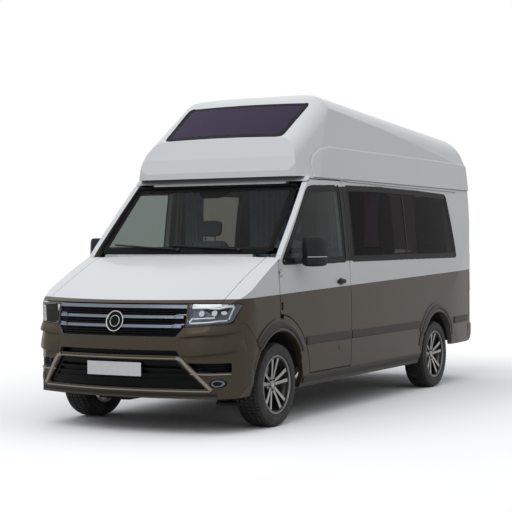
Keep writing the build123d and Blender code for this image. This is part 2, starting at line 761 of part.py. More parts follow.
bumper_skin = skin_of(nose_outer, nose_wall)
grille_skin = skin_of(nose_form(GRILLE_DEPTH), nose_wall)
bar_skin = skin_of(nose_outer, nose_form(GRILLE_DEPTH - SEAT_GAP))
lamp_skin = skin_of(nose_form(GLASS + SEAT_GAP), nose_wall)
lens_skin = skin_of(nose_outer, nose_form(GLASS))
carrier_skin = skin_of(nose_form(WALL + SEAT_GAP), nose_form(WALL + CARRIER_DEPTH))


def skin_cut(skin, prism):
    """The part of a curved skin that lies inside a cutting bar."""
    with BuildPart() as piece:
        add(skin)
        add(prism, mode=Mode.INTERSECT)
    return piece.part


with BuildPart() as front_bumper:
    add(bumper_skin)
    add(bumper_prism(), mode=Mode.INTERSECT)
    for side in (1, -1):
        add(wheel_opening(FRONT_AXLE, side), mode=Mode.SUBTRACT)
        slot = [(side * x, z) for x, z in SIDE_SLOT]
        add(end_prism(slot, AHEAD, 420, corner=8), mode=Mode.SUBTRACT)
    add(end_prism(both_sides(LOWER_GRILLE), AHEAD, 400, corner=12, grow=SEAT_GAP), mode=Mode.SUBTRACT)
    add(end_prism(both_sides(BUMPER_SLOT), AHEAD, 400, corner=8), mode=Mode.SUBTRACT)
finish(front_bumper, "front_bumper")

with BuildPart() as lower_grille:
    add(end_prism(both_sides(LOWER_GRILLE), AHEAD, 400, corner=12))
    add(grille_skin, mode=Mode.INTERSECT)
    for row in range(LOWER_GRILLE_ROWS):
        height = 412 + row * 44
        slot = both_sides(((700 - row * 38, height), (674 - row * 38, height + 26)))
        add(end_prism(slot, AHEAD, 400), mode=Mode.SUBTRACT)

# grille bars: bottom, top, half width
GRILLE_BARS = ((1024, 1052, GRILLE_HALF_TOP), (943, 966, 600), (869, 892, 590))
GRILLE_WINDOWS = ((812, 862), (898, 936), (972, 1018))


def upper_grille_body():
    """The grille between the headlights: a curved panel with rows of openings."""
    with BuildPart() as grille:
        add(end_prism(GRILLE_ZONE, AHEAD, 400))
        add(grille_skin, mode=Mode.INTERSECT)
        for low, high in GRILLE_WINDOWS:
            for column in range(-4, 5):
                x = column * 118
                slot = [(x - 54, low), (x + 54, low), (x + 54, high), (x - 54, high)]
                add(end_prism(slot, AHEAD, 400), mode=Mode.SUBTRACT)
    return grille.part


with BuildPart() as front_grilles:
    add(lower_grille.part)
    add(upper_grille_body())
finish(front_grilles, "front_grilles")

with BuildPart() as grille_bars:
    for low, high, half in GRILLE_BARS:
        add(end_prism([(-half, low), (half, low), (half, high), (-half, high)], AHEAD, 400))
    with BuildSketch(Plane.XZ.offset(-back(AHEAD))):
        with Locations((0, EMBLEM_Z)):
            Circle(EMBLEM_RADIUS)
    extrude(amount=-500)
    add(bar_skin, mode=Mode.INTERSECT)
finish(grille_bars, "grille_bars")

with BuildPart() as headlights:
    for side in (1, -1):
        add(skin_cut(lamp_skin, lamp_prism(side, -1)))
finish(headlights, "headlights")

with BuildPart() as headlight_lenses:
    for side in (1, -1):
        add(skin_cut(lens_skin, lamp_prism(side)))
finish(headlight_lenses, "headlight_lenses")

with BuildPart() as front_carrier:
    add(block((-930, 930), (AHEAD, 560), (520, 640)))
    add(block((-930, 930), (AHEAD, 560), (980, 1040)))
    for side in (1, -1):
        add(block(x_range(side, 570, 640), (AHEAD, 520), (520, 1040)))
    add(carrier_skin, mode=Mode.INTERSECT)
    add(block((-380, 380), (RADIATOR_BACK, RADIATOR_BACK + 70), (640, 980)))
    for side in (1, -1):
        add(block(x_range(side, RAIL_X - 30, RAIL_X + 30), (190, RAIL_FRONT), (450, 620)))
finish(front_carrier, "front_carrier")

with BuildPart() as number_plates:
    add(block((-260, 260), (14, 20), (478, 588)))
    for side in (1, -1):
        add(block(x_range(side, 60, 100), (20, 36.9), (523, 532)))
finish(number_plates, "number_plates")

# ================================================================ rear end
with BuildPart() as tail_lamps:
    for side in (1, -1):
        add(tail_lamp_box(side))
    add(outer, mode=Mode.INTERSECT)
    add(cabin_form(LAMP_WALL), mode=Mode.SUBTRACT)
finish(tail_lamps, "tail_lamps")

with BuildPart() as rear_bumper:
    add(block((-BESIDE, BESIDE), (REAR_BUMPER_FRONT + SEAM, BEHIND), (TAIL_BOTTOM_Z, REAR_BUMPER_TOP - SEAM)))
    add(plan_form(-REAR_BUMPER_STEP), mode=Mode.INTERSECT)
    add(section_form(-4), mode=Mode.INTERSECT)
    add(plan_form(WALL), mode=Mode.SUBTRACT)
    for side in (1, -1):
        add(block(x_range(side, RAIL_X - 30, RAIL_X + 30), (RAIL_REAR, 5930), (TAIL_BOTTOM_Z, 500)))
finish(rear_bumper, "rear_bumper")

# ================================================================ floor and chassis
with BuildPart() as floor_pan:
    add(block((-BESIDE, BESIDE), (COWL, BEHIND), (FLOOR_BOTTOM_Z, FLOOR_TOP_Z)))
    add(cabin_form(WALL + SEAT_GAP), mode=Mode.INTERSECT)
    for side in (1, -1):
        rail_z = (FLOOR_BOTTOM_Z - RAIL_DEPTH, FLOOR_BOTTOM_Z)
        add(block(x_range(side, RAIL_X - 35, RAIL_X + 35), (RAIL_FRONT, RAIL_REAR), rail_z))
        pad_z = (FLOOR_BOTTOM_Z - RAIL_DEPTH - TOW_PAD, FLOOR_BOTTOM_Z - RAIL_DEPTH)
        add(block(x_range(side, RAIL_X - 30, RAIL_X + 30), TOW_PAD_RUN, pad_z))
        add(block(x_range(side, 936, BESIDE), (1100, 2460), (0, FLOOR_TOP_Z + 1)), mode=Mode.SUBTRACT)
        room_x = x_range(side, LINER_INNER_X - LINER_WALL - SEAT_GAP, BESIDE)
        for axle in (FRONT_AXLE, REAR_AXLE):
            add(arch_ring(axle, 0, ARCH_RADIUS + LINER_WALL + SEAT_GAP, room_x), mode=Mode.SUBTRACT)
finish(floor_pan, "floor_pan")


def kingpin_bar(radius, side, low, high):
    """A round bar along the tilted kingpin axis, between two distances up it from the ball joint."""
    axis = (-side * sin(radians(KINGPIN_TILT)), 0, cos(radians(KINGPIN_TILT)))
    start = (side * KINGPIN_X + low * axis[0], back(FRONT_AXLE), KINGPIN_Z + low * axis[2])
    with BuildPart() as bar:
        with BuildSketch(Plane(origin=start, x_dir=(0, 1, 0), z_dir=axis)):
            Circle(radius)
        extrude(amount=high - low)
    return bar.part


with BuildPart() as wheel_housings:
    for side in (1, -1):
        hoop_x = x_range(side, LINER_INNER_X - LINER_WALL, HALF_WIDTH - WALL - SEAT_GAP)
        disc_x = x_range(side, LINER_INNER_X - LINER_WALL, LINER_INNER_X)
        for axle in (FRONT_AXLE, REAR_AXLE):
            add(arch_ring(axle, ARCH_RADIUS, ARCH_RADIUS + LINER_WALL, hoop_x))
            add(arch_ring(axle, 0, ARCH_RADIUS + LINER_WALL, disc_x))
    for side in (1, -1):
        add(kingpin_bar(STRUT_RADIUS + 6, side, STRUT_TOP + SEAT_GAP, STRUT_TOP + 32))
    add(block((-BESIDE, BESIDE), (AHEAD, BEHIND), (-200, 470)), mode=Mode.SUBTRACT)
finish(wheel_housings, "wheel_housings")

# a lower control arm seen from above: x, distance behind the front axle
CONTROL_ARM = ((440, -90), (500, -110), (780, -24), (780, 24), (500, 200), (440, 150))
with BuildPart() as front_axle:
    add(block((-470, 470), (FRONT_AXLE - 110, FRONT_AXLE + 150), (240, 330), corner=30))
    tower_y = (FRONT_AXLE - 60, FRONT_AXLE + 60)
    for side in (1, -1):
        add(block(x_range(side, 300, 386), tower_y, (330, 390)))
        add(block(x_range(side, 386, 470), tower_y, (330, FLOOR_BOTTOM_Z - RAIL_DEPTH)))
        with BuildSketch(Plane.XY.offset(168)):
            with BuildLine():
                Polyline(*[(side * x, back(FRONT_AXLE + y)) for x, y in CONTROL_ARM], close=True)
            make_face()
        extrude(amount=22)
        add(block(x_range(side, 440, 470), (FRONT_AXLE - 80, FRONT_AXLE + 140), (180, 250)))
        add(post(24, side * KINGPIN_X, FRONT_AXLE, (168, 190)))
        with Locations((side * KINGPIN_X, back(FRONT_AXLE), KINGPIN_Z)):
            Sphere(BALL_RADIUS)
finish(front_axle, "front_axle")

with BuildPart() as rear_axle:
    add(axle_bar(48, REAR_AXLE, WHEEL_RADIUS, (-HUB_INNER_X, HUB_INNER_X)))
    add(axle_bar(STUB_RADIUS, REAR_AXLE, WHEEL_RADIUS, (-STUB_END_X, STUB_END_X)))
    for side in (1, -1):
        add(axle_bar(120, REAR_AXLE, WHEEL_RADIUS, x_range(side, HUB_INNER_X - 12, HUB_INNER_X)))

# leaf spring: each leaf's reach from the axle, and its underside
LEAVES = ((640, 401.3), (480, 415.3), (330, 429.3))
LEAF = 14
HANGER_REACH = 600
with BuildPart() as leaf_springs:
    for side in (1, -1):
        for reach, low in LEAVES:
            leaf_y = (REAR_AXLE - reach, REAR_AXLE + reach)
            add(block(x_range(side, SPRING_X - 35, SPRING_X + 35), leaf_y, (low, low + LEAF)))
        for end in (-HANGER_REACH, HANGER_REACH):
            hanger_y = (REAR_AXLE + end - 30, REAR_AXLE + end + 30)
            add(block(x_range(side, SPRING_X - 40, SPRING_X + 40), hanger_y, (401, FLOOR_BOTTOM_Z)))

with BuildPart() as rear_suspension:
    add(rear_axle.part)
    add(leaf_springs.part)
finish(rear_suspension, "rear_axle")

with BuildPart() as engine_block:
    add(block((-320, 320), (380, 1000), (390, 900), corner=40))
    add(block((-240, 240), (420, 960), (900, 1010), corner=30))
finish(engine_block, "engine_block")

with BuildPart() as fuel_tank:
    add(block((-380, -20), (2050, 3050), (300, FLOOR_BOTTOM_Z), corner=60))
finish(fuel_tank, "fuel_tank")

with BuildPart() as exhaust:
    add(block((150, 360), (3300, 3950), (335, 475), corner=50))
    with BuildSketch(Plane.XZ.offset(-back(1500))):
        with Locations((255, 452)):
            Circle(32)
    extrude(amount=-4300)
    for distance in (1700, 3500, 5600):
        add(block((240, 270), (distance, distance + 40), (440, FLOOR_BOTTOM_Z)))
finish(exhaust, "exhaust")

# ================================================================ wheels
# half of a tyre's section: across the tyre, away from the axle
TYRE_SECTION = ((AHEAD, 222), (AHEAD, 240), (-117.5, 286), (-110, 332), (-80, WHEEL_RADIUS))
BARREL = (
    (-108, 213), (-108, 232), (-101, 232), (-101, 221.7), (101, 221.7), (101, 232), (108, 232), (108, 213),
    (30, 205),
)
HUB = ((38, 0), (38, 78), (52, 78), (70, 60), (70, 0))
SPOKE_X = 52
SPOKE = ((60, 4), (60, 26), (214, 52), (214, 30))


def wheel_section(side, axle):
    """The plane of a wheel's half section, with its local x outboard and y away from the axle."""
    return Plane(origin=(side * TYRE_X, back(axle), WHEEL_RADIUS), x_dir=(side, 0, 0), z_dir=(0, -side, 0))


AXLES = (("front", FRONT_AXLE), ("rear", REAR_AXLE))
WHEELS = [(end + "_" + name, side, axle) for end, axle in AXLES for name, side in SIDES]
for name, side, axle in WHEELS:
    bore = STUB_RADIUS + SEAT_GAP
    spin = Axis((side * TYRE_X, back(axle), WHEEL_RADIUS), (1, 0, 0))
    with BuildPart() as tyre:
        with BuildSketch(wheel_section(side, axle)):
            with BuildLine():
                Polyline(*TYRE_SECTION, *[(-x, r) for x, r in reversed(TYRE_SECTION)], close=True)
            make_face()
        revolve(axis=spin)
    finish(tyre, "tyre_" + name)
    with BuildPart() as rim:
        with BuildSketch(wheel_section(side, axle)):
            with BuildLine():
                Polyline(*BARREL, close=True)
            make_face()
            with BuildLine():
                Polyline(*HUB, close=True)
            make_face()
            with BuildLine():
                Polyline((-14, bore), (-14, 150), (10, 150), (10, 80), (40, 80), (40, bore), close=True)
            make_face()
        revolve(axis=spin)
        spoke_centre = (side * (TYRE_X + SPOKE_X), back(axle), WHEEL_RADIUS)
        with BuildSketch(Plane(origin=spoke_centre, x_dir=(0, 1, 0), z_dir=(side, 0, 0))):
            with PolarLocations(0, SPOKE_PAIRS, start_angle=90):
                for lean in (1, -1):
                    Polygon(*[(reach, lean * across) for reach, across in SPOKE], align=None)
        extrude(amount=24)
        add(axle_bar(bore, axle, WHEEL_RADIUS, x_range(side, 800, STUB_END_X + 8)), mode=Mode.SUBTRACT)
    finish(rim, "wheel_" + name)

# ================================================================ steered knuckles
# a knuckle's upright seen from the front: x, height
UPRIGHT = (
    (772, KINGPIN_Z), (826, KINGPIN_Z), (HUB_INNER_X, 290), (HUB_INNER_X, 414), (800, 440), (745, 530),
    (700, 530), (700, 450), (775, 330),
)
for name, side in SIDES:
    with BuildPart() as knuckle:
        with BuildSketch(Plane.XZ.offset(-back(FRONT_AXLE - 34))):
            with BuildLine():
                Polyline(*[(side * x, z) for x, z in UPRIGHT], close=True)
            make_face()
        extrude(amount=-68)
        add(kingpin_bar(STRUT_RADIUS, side, 280, STRUT_TOP))
        with Locations((side * KINGPIN_X, back(FRONT_AXLE), KINGPIN_Z)):
            Sphere(BALL_RADIUS + SEAT_GAP, mode=Mode.SUBTRACT)
        add(axle_bar(STUB_RADIUS, FRONT_AXLE, WHEEL_RADIUS, x_range(side, 800, STUB_END_X)))
    finish(knuckle, "knuckle_" + name)

# ================================================================ door mirrors
# a mirror's head seen from above: x, distance behind the bumper
MIRROR_HEAD = (
    (1040, 1330), (1120, 1290), (1200, 1390), (MIRROR_REACH, 1460), (MIRROR_REACH, 1520), (1060, 1440),
)
for name, side in SIDES:
    with BuildPart() as door_mirror:
        with BuildSketch(Plane.XY.offset(MIRROR_Z[0])):
            with BuildLine():
                Polyline(*[(side * x, back(y)) for x, y in MIRROR_HEAD], close=True)
            make_face()
            chamfer(vertices(), 12)
        extrude(amount=MIRROR_Z[1] - MIRROR_Z[0])
        chamfer(faces().filter_by(Axis.Z).edges(), 10)
        add(block(x_range(side, 940, 1080), (1300, 1390), (MIRROR_Z[0] + 20, MIRROR_Z[0] + 70)))
        add(section_form(-SEAT_GAP), mode=Mode.SUBTRACT)
    finish(door_mirror, "mirror_" + name)

# ================================================================ cab
COLUMN_AXIS = (0, sin(radians(COLUMN_RAKE)), cos(radians(COLUMN_RAKE)))
column_plane = Plane(origin=(SEAT_X, back(WHEEL_BACK), STEERING_Z), x_dir=(1, 0, 0), z_dir=COLUMN_AXIS)
# the dashboard seen from the side
DASHBOARD = (
    (1080, 800), (1080, 1340), (1250, 1372), (1420, 1330), (1500, 1240), (1480, 1080), (1300, 800),
)
with BuildPart() as dashboard:
    with BuildSketch(Plane.YZ):
        with BuildLine():
            Polyline(*places(DASHBOARD), close=True)
        make_face()
    extrude(amount=880, both=True)
    add(cabin_form(WALL + SEAT_GAP), mode=Mode.INTERSECT)
    for side in (1, -1):
        add(liner_room(FRONT_AXLE, side), mode=Mode.SUBTRACT)
    with BuildSketch(column_plane):
        Circle(COLUMN_RADIUS + SEAT_GAP)
    extrude(amount=-COLUMN_LENGTH - 5, mode=Mode.SUBTRACT)
finish(dashboard, "dashboard")

with BuildPart() as steering_wheel:
    with BuildSketch(column_plane):
        Circle(70)
        with PolarLocations(0, 3, start_angle=-90):
            with Locations((105, 0)):
                Rectangle(160, 34)
    extrude(amount=14, both=True)
    with BuildSketch(Plane(origin=column_plane.origin, x_dir=column_plane.z_dir, z_dir=(1, 0, 0))):
        with Locations((0, STEERING_RADIUS)):
            RegularPolygon(STEERING_RIM, 8)
    revolve(axis=Axis(column_plane.origin, column_plane.z_dir))
    with BuildSketch(column_plane):
        Circle(COLUMN_RADIUS)
    extrude(amount=-COLUMN_LENGTH)
finish(steering_wheel, "steering_wheel")


# seen from the side: distance behind the cushion's front edge, height above its underside
SEAT_OUTLINE = (
    (0, 0), (0, 120), (60, 150), (430, 120), (560, 700), (660, 700), (560, 60), (540, 0),
)
HEADREST_OUTLINE = ((560, 690), (585, 880), (680, 870), (650, 690))


def seat(x, front, base_z, part_width):
    """A seat's cushion, back and head restraint, facing forward."""
    with BuildPart() as form:
        with BuildSketch(Plane.YZ.offset(x - part_width / 2)):
            with BuildLine():
                Polyline(*[(back(front + run), base_z + rise) for run, rise in SEAT_OUTLINE], close=True)
            make_face()
            fillet(vertices(), 18)
        extrude(amount=part_width)
        with BuildSketch(Plane.YZ.offset(x - part_width / 4)):
            with BuildLine():
                Polyline(*[(back(front + run), base_z + rise) for run, rise in HEADREST_OUTLINE], close=True)
            make_face()
            fillet(vertices(), 18)
        extrude(amount=part_width / 2)
    return form.part


with BuildPart() as front_seats:
    for side in (1, -1):
        add(seat(side * SEAT_X, SEAT_BACK, SEAT_BASE_Z, 500))
        box_y = (SEAT_BACK + 60, SEAT_BACK + 480)
        add(block(x_range(side, SEAT_X - 200, SEAT_X + 200), box_y, (FLOOR_TOP_Z, SEAT_BASE_Z + 30)))
finish(front_seats, "front_seats")

# ================================================================ living space
with BuildPart() as dinette_bench:
    add(seat(BENCH_X, 2960, 900, 880))
    add(block((BENCH_X - 440, BENCH_X + 440), (2960, 3440), (FLOOR_TOP_Z, 902)))
finish(dinette_bench, "dinette_bench")

with BuildPart() as dinette_table:
    add(block((380, 930), (2480, 2860), (1240, 1270), corner=40))
    add(post(30, 700, 2670, (FLOOR_TOP_Z, 1240)))
finish(dinette_table, "dinette_table")

# the washroom's outline seen from the front, up to the roof
WASHROOM = ((60, FLOOR_TOP_Z), (938, FLOOR_TOP_Z), (928, 1400), (848, 2130), (812, 2420), (60, 2420))
WASHROOM_WALL = 20
with BuildPart() as washroom:
    add(end_prism(WASHROOM, 3660, 4130))
    inside = (60 + WASHROOM_WALL, 1000), (3660 + WASHROOM_WALL, 4130 - WASHROOM_WALL)
    add(block(*inside, (FLOOR_TOP_Z + WASHROOM_WALL, 2420 - WASHROOM_WALL)), mode=Mode.SUBTRACT)
finish(washroom, "washroom")

with BuildPart() as kitchen_unit:
    add(block((-920, -440), (3340, 4130), (FLOOR_TOP_Z, 1440)))
    add(block((-922, -430), (3330, 4130), (1440, 1470)))
finish(kitchen_unit, "kitchen_unit")

with BuildPart() as rear_bed:
    add(block((-1000, 1000), (4240, 5870), (1130, 1290)))
    add(cabin_form(WALL + DOOR_GAP), mode=Mode.INTERSECT)
    for side in (1, -1):
        add(block(x_range(side, 560, 620), (4240, 5800), (FLOOR_TOP_Z, 1130)))
        add(liner_room(REAR_AXLE, side), mode=Mode.SUBTRACT)
finish(rear_bed, "rear_bed")
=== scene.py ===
# %% [markdown]
# A high-roof camper van
#
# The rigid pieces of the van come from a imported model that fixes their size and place. This
# notebook gives them their finishes and adds what the model leaves plain: tyre tread, alloy
# wheels, lamps, trims, seats, curtains and furniture fronts. Nothing that comes with the model
# is moved. Lengths are metres: X runs across the van with +X on its left side, Y along it with
# the nose at the low end, and Z up from the ground.

import math

import bmesh
import bpy
from mathutils import Matrix, Vector
from mathutils.bvhtree import BVHTree


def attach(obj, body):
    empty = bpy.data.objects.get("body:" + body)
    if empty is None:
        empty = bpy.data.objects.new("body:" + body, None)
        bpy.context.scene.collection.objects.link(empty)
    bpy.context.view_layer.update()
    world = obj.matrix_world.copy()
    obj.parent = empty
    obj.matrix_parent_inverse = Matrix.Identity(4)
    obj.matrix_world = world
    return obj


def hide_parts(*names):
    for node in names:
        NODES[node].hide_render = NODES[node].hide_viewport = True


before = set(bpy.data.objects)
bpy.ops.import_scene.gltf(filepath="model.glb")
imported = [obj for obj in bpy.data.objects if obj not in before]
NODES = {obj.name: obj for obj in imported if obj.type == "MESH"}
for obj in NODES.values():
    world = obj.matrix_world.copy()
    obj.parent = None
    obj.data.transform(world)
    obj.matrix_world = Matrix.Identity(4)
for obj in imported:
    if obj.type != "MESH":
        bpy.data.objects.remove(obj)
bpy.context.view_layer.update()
NOSE_Y = -2.993


def back(distance):
    """Y of a place that lies a distance behind the front bumper."""
    return NOSE_Y + distance


# %% [markdown]
# A shader is a network of sockets. Written out node by node it is long and hard to read, so one
# small class wraps a socket and lets it take part in ordinary sums: each operator adds one Math
# node. The finish class below starts a material and has one method that adds any other node.


# %% Sockets that do arithmetic
class Value:
    """A node's output that can be added, multiplied and compared."""

    def __init__(self, tree, socket):
        self.tree = tree
        self.socket = socket

    def math(self, operation, *others):
        node = self.tree.nodes.new("ShaderNodeMath")
        node.operation = operation
        for slot, entry in zip(node.inputs, others):
            if isinstance(entry, Value):
                self.tree.links.new(entry.socket, slot)
            else:
                slot.default_value = entry
        return Value(self.tree, node.outputs[0])

    def __add__(self, other):
        return self.math("ADD", self, other)

    __radd__ = __add__

    def __sub__(self, other):
        return self.math("SUBTRACT", self, other)

    def __rsub__(self, other):
        return self.math("SUBTRACT", other, self)

    def __mul__(self, other):
        return self.math("MULTIPLY", self, other)

    __rmul__ = __mul__

    def __truediv__(self, other):
        return self.math("DIVIDE", self, other)

    def __gt__(self, other):
        return self.math("GREATER_THAN", self, other)

    def __lt__(self, other):
        return self.math("LESS_THAN", self, other)

    def absolute(self):
        return self.math("ABSOLUTE", self)

    def larger(self, other):
        return self.math("MAXIMUM", self, other)

    def sine(self):
        return self.math("SINE", self)

    def root(self):
        return self.math("SQRT", self)

    def ramp(self, low, high):
        """0 below a lower limit, 1 above a higher one, straight between them."""
        node = self.tree.nodes.new("ShaderNodeMapRange")
        self.tree.links.new(self.socket, node.inputs["Value"])
        node.inputs["From Min"].default_value = low
        node.inputs["From Max"].default_value = high
        return Value(self.tree, node.outputs["Result"])


# %% A finish is one material
class Finish:
    """One material: its surface shader and the nodes that feed it."""

    def __init__(self, name, tree=None):
        """Start a new material, or clear the node tree that is given."""
        if tree is None:
            self.material = bpy.data.materials.new(name)
            self.material.use_nodes = True
            tree = self.material.node_tree
        self.tree = tree
        self.tree.nodes.clear()
        kind = "ShaderNodeOutputMaterial" if tree.type == "SHADER" and hasattr(self,
            "material") else "ShaderNodeOutputWorld"
        self.output = self.tree.nodes.new(kind)

    def node(self, kind, settings=None, out=0, **sockets):
        """Add a node: its settings first, then its sockets, by name with _ for a space."""
        node = self.tree.nodes.new(kind)
        for key, setting in (settings or {}).items():
            if key == "stops":
                self.set_stops(node.color_ramp, setting)
            else:
                setattr(node, key, setting)
        for key, entry in sockets.items():
            socket = node.inputs[int(key[1:])] if key[0] == "i" and key[1:].isdigit() else node.inputs[
                key.replace("_", " ")]
            if isinstance(entry, Value):
                self.tree.links.new(entry.socket, socket)
            else:
                socket.default_value = entry
        return Value(self.tree, node.outputs[out])

    def set_stops(self, ramp, stops):
        while len(ramp.elements) < len(stops):
            ramp.elements.new(1)
        for element, (place, shade) in zip(ramp.elements, stops):
            element.position = place
            element.color = shade

    def place(self):
        """The point's X, Y and Z on the van at rest."""
        spot = self.node("ShaderNodeTexCoord", out="Object")
        return [self.node("ShaderNodeSeparateXYZ", out=axis, Vector=spot) for axis in range(3)]

    def outward(self):
        """Positive where a surface faces away from the middle of the cabin."""
        spot = self.node("ShaderNodeTexCoord", out="Object")
        facing = self.node("ShaderNodeTexCoord", out="Normal")
        from_middle = self.node("ShaderNodeVectorMath", {"operation": "SUBTRACT"}, i0=spot, i1=(0, 0.3, 1.35))
        return self.node("ShaderNodeVectorMath", {"operation": "DOT_PRODUCT"}, out="Value", i0=from_middle,
            i1=facing)

    def noise(self, scale, detail=2, roughness=0.5):
        spot = self.node("ShaderNodeTexCoord", out="Object")
        return self.node("ShaderNodeTexNoise", Vector=spot, Scale=scale, Detail=detail, Roughness=roughness)

    def blend(self, factor, low, high):
        """A colour between two others."""
        return self.node("ShaderNodeMix", {"data_type": "RGBA"}, out=2, i0=factor, i6=low, i7=high)

    def bump(self, height, strength, distance):
        return self.node("ShaderNodeBump", Height=height, Strength=strength, Distance=distance)

    def surface(self, **sockets):
        """Finish the material with one Principled shader."""
        shader = self.node("ShaderNodeBsdfPrincipled", **sockets)
        self.tree.links.new(shader.socket, self.output.inputs["Surface"])
        return self.material


def colour(red, green, blue):
    """A colour given in display units from 0 to 255, as the shader's linear numbers."""
    return tuple(((c / 255 + 0.055) / 1.055) ** 2.4 if c > 10 else c / 3295 for c in (red, green,
        blue)) + (1.0,)


# %% [markdown]
# The camera stands at eye height, well in front and to the van's left, with a long lens. Its
# place is a real distance in metres; the shift slides the picture without tilting the camera.

# %% Camera
CAMERA_PLACE = Vector((6.430, back(-9.396), 1.528))
CAMERA_TURN = math.radians(28.133)
CAMERA_RISE = math.radians(-0.193)
CAMERA_ROLL = math.radians(-0.301)
LENS = 98.16
camera_data = bpy.data.cameras.new("camera")
camera_data.lens = LENS
camera_data.shift_x = -0.0178
camera_data.shift_y = -0.0309
camera = bpy.data.objects.new("camera", camera_data)
bpy.context.scene.collection.objects.link(camera)
behind = Vector((
    math.sin(CAMERA_TURN) * math.cos(CAMERA_RISE),
    -math.cos(CAMERA_TURN) * math.cos(CAMERA_RISE),
    math.sin(CAMERA_RISE),
))
level = Vector((math.cos(CAMERA_TURN), math.sin(CAMERA_TURN), 0))
upright = behind.cross(level)
right = level * math.cos(CAMERA_ROLL) + upright * math.sin(CAMERA_ROLL)
up = upright * math.cos(CAMERA_ROLL) - level * math.sin(CAMERA_ROLL)
turned = Matrix((right, up, behind)).transposed().to_4x4()
camera.matrix_world = Matrix.Translation(CAMERA_PLACE) @ turned
bpy.context.scene.camera = camera
bpy.context.scene.view_settings.view_transform = "Standard"

# %% [markdown]
# The studio is a white floor under a white surround. Looked at directly, mirrored or seen
# through glass, the surround is plain white, but the light that it gives is strong overhead and
# weak near the ground, as under an open sky. That makes the bonnet brighter than the sides and
# leaves a dark, soft shadow under the van. One large lamp high in front adds a little direction.


# %% Floor, surround and lamps
FLOOR_PALE = (0.93, 0.93, 0.935, 1)
FLOOR_DULL = (0.22, 0.215, 0.21, 1)
SKY_LOW = (0.275, 0.275, 0.275, 1)
SKY_HIGH = (0.98, 1.0, 1.03, 1)
FLOOR_SIZE = 130
SHADOW_FADE = (0.8, 3.2)
LAMP_PLACE = (1.0, -10, 9)
LAMP_SIZE = 7
LAMP_WATTS = 420


def looked_at(finish):
    """1 for rays that show the surround: seen, mirrored or passed through glass."""
    rays = [finish.node("ShaderNodeLightPath", out=name) for name in ("Is Camera Ray", "Is Glossy Ray",
        "Is Transmission Ray")]
    return rays[0].larger(rays[1]).larger(rays[2])


def studio_world():
    world = bpy.data.worlds.new("surround")
    world.use_nodes = True
    sky = Finish("surround_nodes", world.node_tree)
    height = sky.node("ShaderNodeSeparateXYZ", out=2, Vector=sky.node("ShaderNodeTexCoord", out="Generated"))
    light = sky.node("ShaderNodeValToRGB", {"stops": ((0.02, SKY_LOW), (0.75, SKY_HIGH))}, i0=height)
    shade = sky.blend(looked_at(sky), light, (1, 1, 1, 1))
    background = sky.node("ShaderNodeBackground", Color=shade, Strength=1.0)
    sky.tree.links.new(background.socket, sky.output.inputs["Surface"])
    bpy.context.scene.world = world


def soft_lamp(name, place, aim, size, power):
    """A square area lamp that faces a point."""
    data = bpy.data.lights.new(name, "AREA")
    data.size = size
    data.energy = power
    lamp = bpy.data.objects.new(name, data)
    bpy.context.scene.collection.objects.link(lamp)
    lamp.location = place
    lamp.rotation_euler = (Vector(aim) - Vector(place)).to_track_quat("-Z", "Y").to_euler()
    return lamp


def studio_floor():
    """A floor that keeps the van's shadow near the van and is plain white further out."""
    finish = Finish("floor_finish")
    x, y, z = finish.place()
    seen = looked_at(finish)
    away = (x.absolute() - 1.0).larger(0)
    along = (y.absolute() - 3.0).larger(0)
    distance = (away * away + along * along).root()
    plain = distance.ramp(*SHADOW_FADE) * seen
    matt = finish.node("ShaderNodeBsdfDiffuse", Color=finish.blend(seen, FLOOR_DULL, FLOOR_PALE))
    glow = finish.node("ShaderNodeEmission", Color=(1, 1, 1, 1), Strength=1.0)
    both = finish.node("ShaderNodeMixShader", i0=plain, i1=matt, i2=glow)
    finish.tree.links.new(both.socket, finish.output.inputs["Surface"])
    bpy.ops.mesh.primitive_plane_add(size=FLOOR_SIZE, location=(0, 0, 0))
    floor = bpy.context.object
    floor.name = "floor"
    floor.data.materials.append(finish.material)


studio_world()
soft_lamp("high_lamp", LAMP_PLACE, (0, 0, 1), LAMP_SIZE, LAMP_WATTS)
studio_floor()
print("studio ready")
# %% [markdown]
# The body is painted in two colours: white above the waist, metallic brown below. The line
# between them rises gently towards the rear, and one formula in the paint draws it across every
# panel, so it stays in line from the wing over the doors to the tail. Faces that look towards
# the cabin wear pale trim in place of paint.


# %% Two-tone body paint
SPLIT_START = 1.083
SPLIT_RISE = 0.0270


def body_paint():
    paint = Finish("two_tone_paint")
    x, y, z = paint.place()
    split = (y - NOSE_Y) * SPLIT_RISE + SPLIT_START
    upper = z > split
    flake = paint.noise(1800, detail=1)
    cloud = paint.noise(1.3, detail=2)
    brown = paint.blend(flake.ramp(0.35, 0.75), colour(60, 53, 44), colour(87, 80, 67))
    white = paint.blend(cloud, colour(205, 207, 209), colour(210, 212, 214))
    outside = paint.blend(upper, brown, white)
    inside = paint.outward() < -0.02
    skin = paint.blend(inside, outside, colour(112, 108, 104))
    covered = (1 - inside) * (1 - upper)
    return paint.surface(
        Base_Color=skin, Metallic=covered * 0.2, Roughness=inside * 0.4 + 0.34,
        Coat_Weight=(1 - inside) * (0.30 - covered * 0.27), Coat_Roughness=0.05, Specular_IOR_Level=0.12,
    )


# %% [markdown]
# Plastics differ by grain. Bumper-top and cowl plastic is nearly black with a fine leathery
# grain that only shows as softened highlights, so noise drives a very shallow bump.


# %% Plastics, metals and rubber
def grained_plastic(name, shade, grain=900, roughness=0.55):
    finish = Finish(name)
    pits = finish.noise(grain, detail=3)
    tone = finish.blend(finish.noise(14), shade, tuple(min(1, c * 1.25) for c in shade[:3]) + (1,))
    return finish.surface(
        Base_Color=tone, Roughness=pits * 0.1 + (roughness - 0.05), Specular_IOR_Level=0.2,
        Normal=finish.bump(pits, 0.25, 0.0004),
    )


